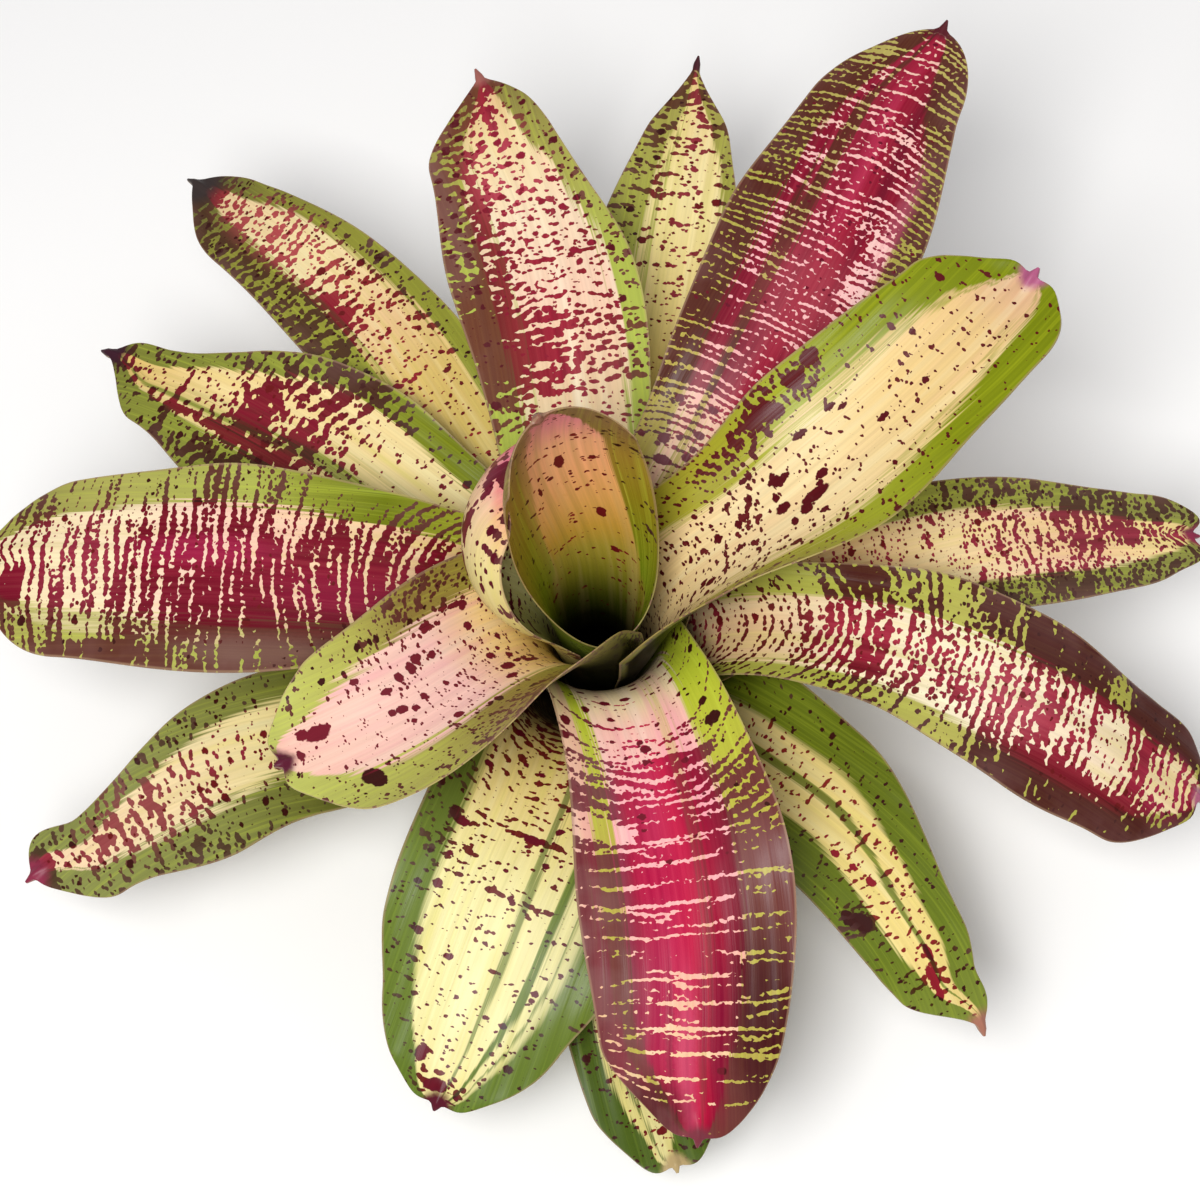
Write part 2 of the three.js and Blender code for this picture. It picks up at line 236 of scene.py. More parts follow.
def makeLeaf(leaf, rank):
    midrib = traceMidrib(leaf, rank)
    bpy.ops.object.select_all(action="DESELECT")
    bpy.ops.mesh.primitive_grid_add(x_subdivisions=skin["rows"], size=2, calc_uvs=False,
                                    y_subdivisions=leaf.get("columns", skin["columns"]))
    piece = bpy.context.object
    piece.name = piece.data.name = leaf["name"] + "_blade"
    mesh = piece.data
    flat = np.empty(len(mesh.vertices) * 3)
    mesh.vertices.foreach_get("co", flat)
    flat = flat.reshape(-1, 3)

    # rows are spread evenly round the outline and columns crowd towards the margins
    xs = np.linspace(0, 1, 4001)
    strides = np.hypot(np.diff(xs) * leaf["length"], np.diff(bladeWidth(leaf, xs)) / 2)
    outline = np.append(0, np.cumsum(strides))
    x = np.interp((flat[:, 0] + 1) / 2 * outline[-1], outline, xs)
    u = np.sign(flat[:, 1]) * (1 - (1 - np.abs(flat[:, 1])) ** 1.15)
    points, across = bladePoints(leaf, midrib, x, u)
    mesh.vertices.foreach_set("co", (points * mm).ravel())

    # wall: thin at the margins, thick in the horny point and the ridge that runs into it
    root = 1 - skin["pointShare"]
    horn = skin["horn"] * smooth(x, root - 0.05, root) * (1 - 0.75 * smooth(x, root, 1))
    ridge = np.where(x < root, hump(across, skin["hornRidge"]), np.sqrt(np.maximum(0.02, 1 - u ** 2)))
    wall = skin["thickness"] + (skin["edgeThickness"] - skin["thickness"]) * np.abs(u) ** 12 + horn * ridge
    group = piece.vertex_groups.new(name="wall")
    for index, value in enumerate(wall / skin["thickest"]):
        group.add([index], float(min(value, 1)), "REPLACE")

    # UV maps: across and along the blade as shares, the same in mm, and one with both faces side by side
    corners = np.empty(len(mesh.loops), int)
    mesh.loops.foreach_get("vertex_index", corners)
    maps = dict(blade=((u + 1) / 2, x), surfaceMm=(across, x * leaf["length"]),
                OFBake=((u + 1) * 0.24 + 0.01, x * 0.98 + 0.01))
    for name, (first, second) in maps.items():
        layer = mesh.uv_layers.new(name=name)
        layer.uv.foreach_set("vector", np.stack([first[corners], second[corners]], -1).ravel())

    solid = piece.modifiers.new("wall", "SOLIDIFY")
    solid.thickness = skin["thickest"] * mm
    solid.offset = 0
    solid.vertex_group = "wall"
    solid.material_offset = 1
    solid.use_even_offset = False
    mesh.materials.append(leafSkin(leaf, under=False))
    mesh.materials.append(leafSkin(leaf, under=True))
    bpy.context.view_layer.objects.active = piece
    bpy.ops.object.modifier_apply(modifier="wall")

    # the underside's half of the bake map
    mesh = piece.data
    sides = np.empty(len(mesh.polygons), int)
    mesh.polygons.foreach_get("material_index", sides)
    totals = np.empty(len(mesh.polygons), int)
    mesh.polygons.foreach_get("loop_total", totals)
    layer = mesh.uv_layers["OFBake"]
    spread = np.empty(len(mesh.loops) * 2)
    layer.uv.foreach_get("vector", spread)
    spread = spread.reshape(-1, 2)
    spread[np.repeat(sides, totals) == 1, 0] += 0.5
    layer.uv.foreach_set("vector", spread.ravel())

    bpy.ops.object.shade_smooth_by_angle(angle=math.radians(60))
    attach(piece, "root")
    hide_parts(leaf["name"])


# what every leaf's pattern is drawn from: veins, broad streaks and jags as turns per mm across and along;
# slow clouds, grain, warp and cloud as turns per mm; how ragged marks are, in mm; the spacing of freckles
# and spots in mm with the size of the biggest as a share of it; and the colours of scales and cartilage
texture = dict(vein=(0.9, 0.011, 1), broad=(0.22, 0.008, 1), jag=(0.8, 0.09, 1),
               slow=0.05, grain=0.62, warp=0.035, cloud=0.07,
               wobble=1.6, beadShake=1.2, spotShake=1.5, dots=(2.4, 0.36), spots=(5.5, 0.34),
               scurf="#8b8a78", mauve="#8a6460", cartilage="#a98a6c")

# marks that a leaf has unless its own say otherwise. Ramps run along the leaf from sheath 0 to point 1, but
# edges, levelAcross, crimson and bloom run across it. A patch is (across, along, width, length, amount), a
# tone has its colour before the amount, and a blotch ends with its length. These widths and lengths, the
# reach, pitch, period, arch, warp and jag of bands, the size of beads and the tip's reach are in mm
commonMarks = dict(
    closeIn=2.0, pinstripe=0.16, stripe=0.1, pale="#f6eeb8", tint="#d9cc6a", lime="#b4c23c",
    levelAcross={0: 1}, patches=[],
    crimson={0: "#701c18", 0.5: "#8e2622", 1: "#701c18"}, deep="#5c1210", maroon="#46281a", tones=[],
    reach=11.0, pitch=3.4, arch=8.0, archLow=50.0, warp=14.0, jag=0.35, ripple=0.08, period=3.9,
    bead=0.62, beadSize=2.4, cloud=0.4,
    dots={0: 0.25}, spots={0: 0.25}, spot="#6a1618", darkSpot="#3a120e", blotches=[],
    # the last ramp on the next line is painted shade towards the foot of the sheath, and the number before
    # it painted light on the sheath's rim
    bloom={0: 0.3, 0.2: 0, 0.8: 0, 1: 0.3}, silver=0.55, rim=0, paintedShade={0: 0.25, 0.2: 0.5, 0.34: 1},
    tip="#6e3440", tipReach=5.5)


def shakenSurface(tree, at, amount):
    # the surface in mm, moved about by up to amount, so that the edges of marks run ragged
    return addNode(tree, "VectorMath", {0: at["grain"].outputs[1], 1: (amount, amount, 0), 2: at["surface"]},
                   operation="MULTIPLY_ADD")


def leafPlaces(tree, leaf):
    # where a point lies on the blade, and the streaks and grains that its patterns share
    seed = float(leaf["name"][-2:]) * 17.3
    blade = addNode(tree, "SeparateXYZ", {0: addNode(tree, "UVMap", uv_map="blade")})
    surface = addNode(tree, "UVMap", uv_map="surfaceMm")
    flat = addNode(tree, "SeparateXYZ", {0: surface})
    fromMiddle = addNode(tree, "Math", {0: blade.outputs[0], 1: 0.5}, operation="SUBTRACT")
    at = dict(seed=seed, u=blade.outputs[0], v=blade.outputs[1], fromMiddle=fromMiddle,
              surface=surface, across=flat.outputs[0], along=flat.outputs[1])
    for name, offset, roughness in (("vein", (seed, 0, seed), 0.6), ("broad", (0, seed, seed), 0.5)):
        place = addNode(tree, "VectorMath", {0: surface, 1: texture[name], 2: offset},
                        operation="MULTIPLY_ADD")
        at[name] = addNode(tree, "TexNoise", {"Vector": place, "Scale": 1.0, "Detail": 2.0,
                                              "Roughness": roughness})
    for name, detail, roughness in (("slow", 3.0, 0.55), ("grain", 1.0, 0.5)):
        at[name] = addNode(tree, "TexNoise", {"Vector": surface, "Scale": texture[name], "Detail": detail,
                                              "Roughness": roughness})
    at["wobble"] = shakenSurface(tree, at, texture["wobble"])
    return at


def fromOval(tree, leaf, at, share, height, wide, tall):
    # distance from the middle of an oval mark, 1 at its rim
    scale = 2 / wide, 2 / tall
    drift = texture["wobble"] / 2
    middle = (acrossAt(leaf, share, height) + drift) * scale[0], (height * leaf["length"] + drift) * scale[1]
    offset = addNode(tree, "VectorMath", {0: at["wobble"], 1: (*scale, 0), 2: (-middle[0], -middle[1], 0)},
                     operation="MULTIPLY_ADD")
    return addNode(tree, "VectorMath", {0: offset}, operation="LENGTH").outputs[1]


def leafGround(tree, marks, at):
    # cream middle and green margins, with pinstripes where they meet, and paler or deeper streaks along both
    closeIn = addNode(tree, "MapRange", {0: at["v"], 1: 0.8, 2: 1.0, 3: 1.0, 4: marks["closeIn"]},
                      interpolation_type="SMOOTHSTEP")
    zone = addNode(tree, "Math", {0: at["fromMiddle"], 1: closeIn, 2: 0.5}, operation="MULTIPLY_ADD")
    for streak, amount in (("vein", marks["pinstripe"]), ("broad", marks["stripe"])):
        sway = addNode(tree, "Math", {0: at[streak], 1: 0.5}, operation="SUBTRACT")
        zone = addNode(tree, "Math", {0: sway, 1: amount, 2: zone}, operation="MULTIPLY_ADD")
    green = addNode(tree, "ValToRGB", {0: zone}, stops=marks["edges"])
    cream = addNode(tree, "ValToRGB", {0: at["v"]}, stops=marks["cream"])
    for name, end in (("pale", 0.8), ("tint", 0.25)):
        streak = addNode(tree, "MapRange", {0: at["broad"], 1: 0.5, 2: end, 3: 0.0, 4: 0.5})
        cream = addNode(tree, "Mix", {0: streak, 6: cream, 7: hexColour(marks[name])}, data_type="RGBA")
    leafGreen = addNode(tree, "ValToRGB", {0: at["v"]}, stops=marks["green"])
    lime = addNode(tree, "MapRange", {0: at["vein"], 1: 0.5, 2: 0.8, 3: 0.0, 4: 0.45})
    leafGreen = addNode(tree, "Mix", {0: lime, 6: leafGreen, 7: hexColour(marks["lime"])}, data_type="RGBA")
    return green, addNode(tree, "Mix", {0: green, 6: cream, 7: leafGreen}, data_type="RGBA")


def redLevel(tree, leaf, marks, at):
    # how much of the surface is red: along, across, and single patches that add or take away
    along = addNode(tree, "ValToRGB", {0: at["v"]}, stops=marks["levelAlong"])
    across = addNode(tree, "ValToRGB", {0: at["u"]}, stops=marks["levelAcross"])
    level = addNode(tree, "Math", {0: along, 1: across}, operation="MULTIPLY")
    level = addNode(tree, "Math", {0: level, 1: 0.85}, operation="POWER")
    for *oval, amount in marks["patches"]:
        away = fromOval(tree, leaf, at, *oval)
        patch = addNode(tree, "MapRange", {0: away, 1: 1.25, 2: 0.7, 3: 0.0, 4: amount},
                        interpolation_type="SMOOTHSTEP")
        level = addNode(tree, "Math", {0: level, 1: patch}, operation="ADD")
    return level


def crossBands(tree, marks, at, level):
    # bands with a long warp, a jag from vein to vein, and an arch over the blade, most of it near the sheath
    seed, surface = at["seed"], at["surface"]
    warp = addNode(tree, "TexNoise", {"Vector": surface, "Scale": texture["warp"], "Detail": 1.0})
    jagPlace = addNode(tree, "VectorMath", {0: surface, 1: texture["jag"], 2: (seed, seed, 0)},
                       operation="MULTIPLY_ADD")
    jag = addNode(tree, "TexNoise", {"Vector": jagPlace, "Scale": 1.0, "Detail": 0.0})
    squared = addNode(tree, "Math", {0: at["fromMiddle"], 1: at["fromMiddle"]}, operation="MULTIPLY")
    arch = addNode(tree, "MapRange", {0: at["v"], 1: 0.35, 2: 0.62, 3: marks["archLow"], 4: marks["arch"]})
    shift = at["along"]
    for part, amount in ((warp, marks["warp"]), (jag, marks["jag"]), (squared, arch)):
        shift = addNode(tree, "Math", {0: part, 1: amount, 2: shift}, operation="MULTIPLY_ADD")
    reachLow = marks.get("reachLow", marks["reach"])
    narrow = addNode(tree, "MapRange", {0: at["v"], 1: 0.56, 2: 0.62, 3: 1 / reachLow,
                                        4: 1 / marks["reach"]})
    wide = addNode(tree, "Math", {0: at["across"], 1: narrow}, operation="MULTIPLY")
    tall = addNode(tree, "Math", {0: shift, 1: 1 / marks["pitch"]}, operation="MULTIPLY")
    bandPlace = addNode(tree, "CombineXYZ", {0: wide, 1: tall, 2: seed})
    band = addNode(tree, "TexNoise", {"Vector": bandPlace, "Scale": 1.0, "Detail": 0.3, "Roughness": 0.4})

    # beads break the bands up, a ripple keeps them in step, and clouds make them come and go
    beadScale = 0.86 / marks["beadSize"], 1.2 / marks["beadSize"], 0
    beadPlace = addNode(tree, "VectorMath", {0: shakenSurface(tree, at, texture["beadShake"]), 1: beadScale,
                                             2: (seed, 0, 0)}, operation="MULTIPLY_ADD")
    cells = addNode(tree, "TexVoronoi", {"Vector": beadPlace, "Scale": 1.0, "Randomness": 1.0},
                    voronoi_dimensions="2D")
    bead = addNode(tree, "MapRange", {0: cells, 1: 0.0, 2: 0.9, 3: 1.0, 4: 0.0})
    beadAmount = marks["bead"] * 0.7
    cloud = addNode(tree, "TexNoise", {"Vector": surface, "Scale": texture["cloud"], "Detail": 2.0})
    ripple = addNode(tree, "Math", {0: shift, 1: 2 * math.pi / marks["period"]}, operation="MULTIPLY")
    ripple = addNode(tree, "Math", {0: ripple}, operation="SINE")
    field = band
    for part, amount in ((ripple, marks["ripple"]), (bead, beadAmount), (cloud, marks["cloud"])):
        field = addNode(tree, "Math", {0: part, 1: amount, 2: field}, operation="MULTIPLY_ADD")
    centre = 0.5 + (beadAmount + marks["cloud"]) / 2
    threshold = addNode(tree, "MapRange", {0: level, 1: 0.0, 2: 1.0, 3: centre + 0.34, 4: centre - 0.24},
                        clamp=False)
    full = addNode(tree, "Math", {0: threshold, 1: 0.03}, operation="ADD")
    bands = addNode(tree, "MapRange", {0: field, 1: threshold, 2: full, 3: 0.0, 4: 1.0})
    return bands, field, centre


def leafSpots(tree, leaf, marks, at):
    # freckles and spots, oval across the blade, then single blotches at their own places and sizes
    seed, spots = at["seed"], 0.0
    shaken = shakenSurface(tree, at, texture["spotShake"])
    for key in ("dots", "spots"):
        spacing, biggest = texture[key]
        share = addNode(tree, "ValToRGB", {0: at["v"]}, stops=marks[key])
        oval = 0.8 / spacing, 1.1 / spacing, 0
        place = addNode(tree, "VectorMath", {0: shaken, 1: oval, 2: (seed, seed, 0)},
                        operation="MULTIPLY_ADD")
        cell = addNode(tree, "TexVoronoi", {"Vector": place, "Scale": 1.0, "Randomness": 1.0},
                       voronoi_dimensions="2D")
        chance = addNode(tree, "SeparateXYZ", {0: cell.outputs[1]})
        least = addNode(tree, "Math", {0: 1.0, 1: share}, operation="SUBTRACT")
        radius = addNode(tree, "MapRange", {0: chance.outputs[0], 1: least, 2: 1.0, 3: 0.0, 4: biggest})
        inside = addNode(tree, "Math", {0: radius, 1: cell.outputs[0]}, operation="SUBTRACT")
        spot = addNode(tree, "MapRange", {0: inside, 1: 0.0, 2: 0.05, 3: 0.0, 4: 1.0})
        spots = addNode(tree, "Math", {0: spots, 1: spot}, operation="MAXIMUM")
    for oval in marks["blotches"]:
        away = fromOval(tree, leaf, at, *oval)
        blotch = addNode(tree, "MapRange", {0: away, 1: 1.06, 2: 0.94, 3: 0.0, 4: 1.0})
        spots = addNode(tree, "Math", {0: spots, 1: blotch}, operation="MAXIMUM")
    return spots


def leafColour(tree, leaf, marks, at, under):
    green, ground = leafGround(tree, marks, at)
    bands, field, centre = crossBands(tree, marks, at, redLevel(tree, leaf, marks, at))

    # anthocyanin: red over cream, maroon over green, darkest in the spots; broad streaks vary its depth
    crimson = addNode(tree, "ValToRGB", {0: at["u"]}, stops=marks["crimson"])
    deeper = addNode(tree, "MapRange", {0: at["broad"], 1: 0.55, 2: 0.3, 3: 0.0, 4: 0.6})
    crimson = addNode(tree, "Mix", {0: deeper, 6: crimson, 7: hexColour(marks["deep"])}, data_type="RGBA")
    red = addNode(tree, "Mix", {0: green, 6: crimson, 7: hexColour(marks["maroon"])}, data_type="RGBA")
    # patches of another red; the pale pink one down leaf_05's middle is a painted highlight
    for *oval, tone, amount in marks["tones"]:
        away = fromOval(tree, leaf, at, *oval)
        stainAndPaintedSheen = addNode(tree, "MapRange", {0: away, 1: 1.3, 2: 0.3, 3: 0.0, 4: amount},
                        interpolation_type="SMOOTHSTEP")
        red = addNode(tree, "Mix", {0: stainAndPaintedSheen, 6: red, 7: hexColour(tone)}, data_type="RGBA")
    thin = addNode(tree, "MapRange", {0: at["vein"], 1: 0.4, 2: 0.85, 3: 1.0, 4: 0.97})
    strength = addNode(tree, "Math", {0: bands, 1: thin}, operation="MULTIPLY")
    colour = addNode(tree, "Mix", {0: strength, 6: ground, 7: red}, data_type="RGBA")
    spot, darkSpot = hexColour(marks["spot"]), hexColour(marks["darkSpot"])
    spotColour = addNode(tree, "Mix", {0: green, 6: spot, 7: darkSpot}, data_type="RGBA")
    colour = addNode(tree, "Mix", {0: leafSpots(tree, leaf, marks, at), 6: colour, 7: spotColour},
                     data_type="RGBA")

    # grey-mauve bloom of fine scales over the red, strongest where the ramp says
    bloomLevel = addNode(tree, "ValToRGB", {0: at["u"]}, stops=marks["bloom"])
    bloomPatch = addNode(tree, "MapRange", {0: at["slow"], 1: 0.4, 2: 0.62, 3: 0.15, 4: 1.0})
    bloom = addNode(tree, "Math", {0: bloomLevel, 1: bloomPatch}, operation="MULTIPLY")
    bloom = addNode(tree, "Math", {0: bloom, 1: strength}, operation="MULTIPLY")
    colour = addNode(tree, "Mix", {0: bloom, 6: colour, 7: hexColour(texture["mauve"])}, data_type="RGBA")

    # the horny point takes its own colour from its root on
    drift = texture["wobble"] / 2
    point = leaf["length"] * (1 - skin["pointShare"] * 0.5)
    toPoint = addNode(tree, "VectorMath", {0: at["wobble"], 1: (drift, point + drift, 0)},
                      operation="DISTANCE").outputs[1]
    hornEnds = marks["tipReach"] * 1.5, marks["tipReach"] * 0.7
    horn = addNode(tree, "MapRange", {0: toPoint, 1: hornEnds[0], 2: hornEnds[1], 3: 0.0, 4: 1.0},
                   interpolation_type="SMOOTHSTEP")
    colour = addNode(tree, "Mix", {0: horn, 6: colour, 7: hexColour(marks["tip"])}, data_type="RGBA")
    if under:
        # silver scales lie in cross bands on the underside
        scurf = addNode(tree, "MapRange", {0: field, 1: centre - 0.1, 2: centre + 0.1,
                                           3: marks["silver"] * 0.5, 4: marks["silver"]})
        scales = hexColour(texture["scurf"])
        colour = addNode(tree, "Mix", {0: scurf, 6: colour, 7: scales}, data_type="RGBA")
    return colour


def paintedTankShade(tree, marks, at, edge, under):
    # painted shade: the sheath darkens towards its foot, deep in the tank, and a painted light keeps its rim
    # bright
    stops = marks.get("paintedUnderShade", marks["paintedShade"]) if under else marks["paintedShade"]
    paintedShade = addNode(tree, "ValToRGB", {0: at["v"]}, stops=stops)
    if marks["rim"]:
        paintedLitRim = addNode(tree, "MapRange", {0: edge, 1: 0.45, 2: 0.475, 3: 0.0, 4: marks["rim"]})
        above = addNode(tree, "MapRange", {0: at["v"], 1: 0.2, 2: 0.3, 3: 0.0, 4: 1.0})
        paintedLitRim = addNode(tree, "Math", {0: paintedLitRim, 1: above}, operation="MULTIPLY")
        paintedShade = addNode(tree, "Math", {0: paintedShade, 1: paintedLitRim}, operation="MAXIMUM")
    return paintedShade


def leafSkin(leaf, under):
    # living bromeliad leaf: smooth waxy cuticle over long parallel veins, so a satin gloss and fine lines
    face = "underside" if under else "face"
    material, tree = newMaterial("bromeliad leaf %s %s" % (leaf["name"][-2:], face))
    marks = commonMarks | leaf["marks"]
    at = leafPlaces(tree, leaf)
    edge = addNode(tree, "Math", {0: at["fromMiddle"]}, operation="ABSOLUTE")
    colour = leafColour(tree, leaf, marks, at, under)
    # painted shade deep in the tank and painted light on the sheath's rim, multiplied into the colour
    paintedShade = paintedTankShade(tree, marks, at, edge, under)
    colour = addNode(tree, "Mix", {0: 1.0, 6: colour, 7: paintedShade}, data_type="RGBA", blend_type="MULTIPLY")

    # margin: a hairline of pale cartilage; veins a little lighter and darker than the flesh between them
    hairline = addNode(tree, "MapRange", {0: edge, 1: 0.487, 2: 0.494, 3: 0.0, 4: 0.5})
    cartilage = hexColour(texture["cartilage"])
    colour = addNode(tree, "Mix", {0: hairline, 6: colour, 7: cartilage}, data_type="RGBA")
    shade = addNode(tree, "MapRange", {0: at["vein"], 1: 0.25, 2: 0.75, 3: 0.83, 4: 1.0})
    colour = addNode(tree, "VectorMath", {0: colour, "Scale": shade}, operation="SCALE")

    bump = addNode(tree, "Bump", {"Strength": 0.3, "Distance": 0.3 * mm, "Height": at["vein"]})
    gloss = addNode(tree, "MapRange", {0: at["slow"], 1: 0.3, 2: 0.7, 3: 0.26, 4: 0.38})
    shader = addNode(tree, "BsdfPrincipled", {"Base Color": colour, "Roughness": gloss, "Normal": bump,
                                              "IOR": 1.45, "Specular IOR Level": 0.17})
    addNode(tree, "OutputMaterial", {0: shader})
    return material


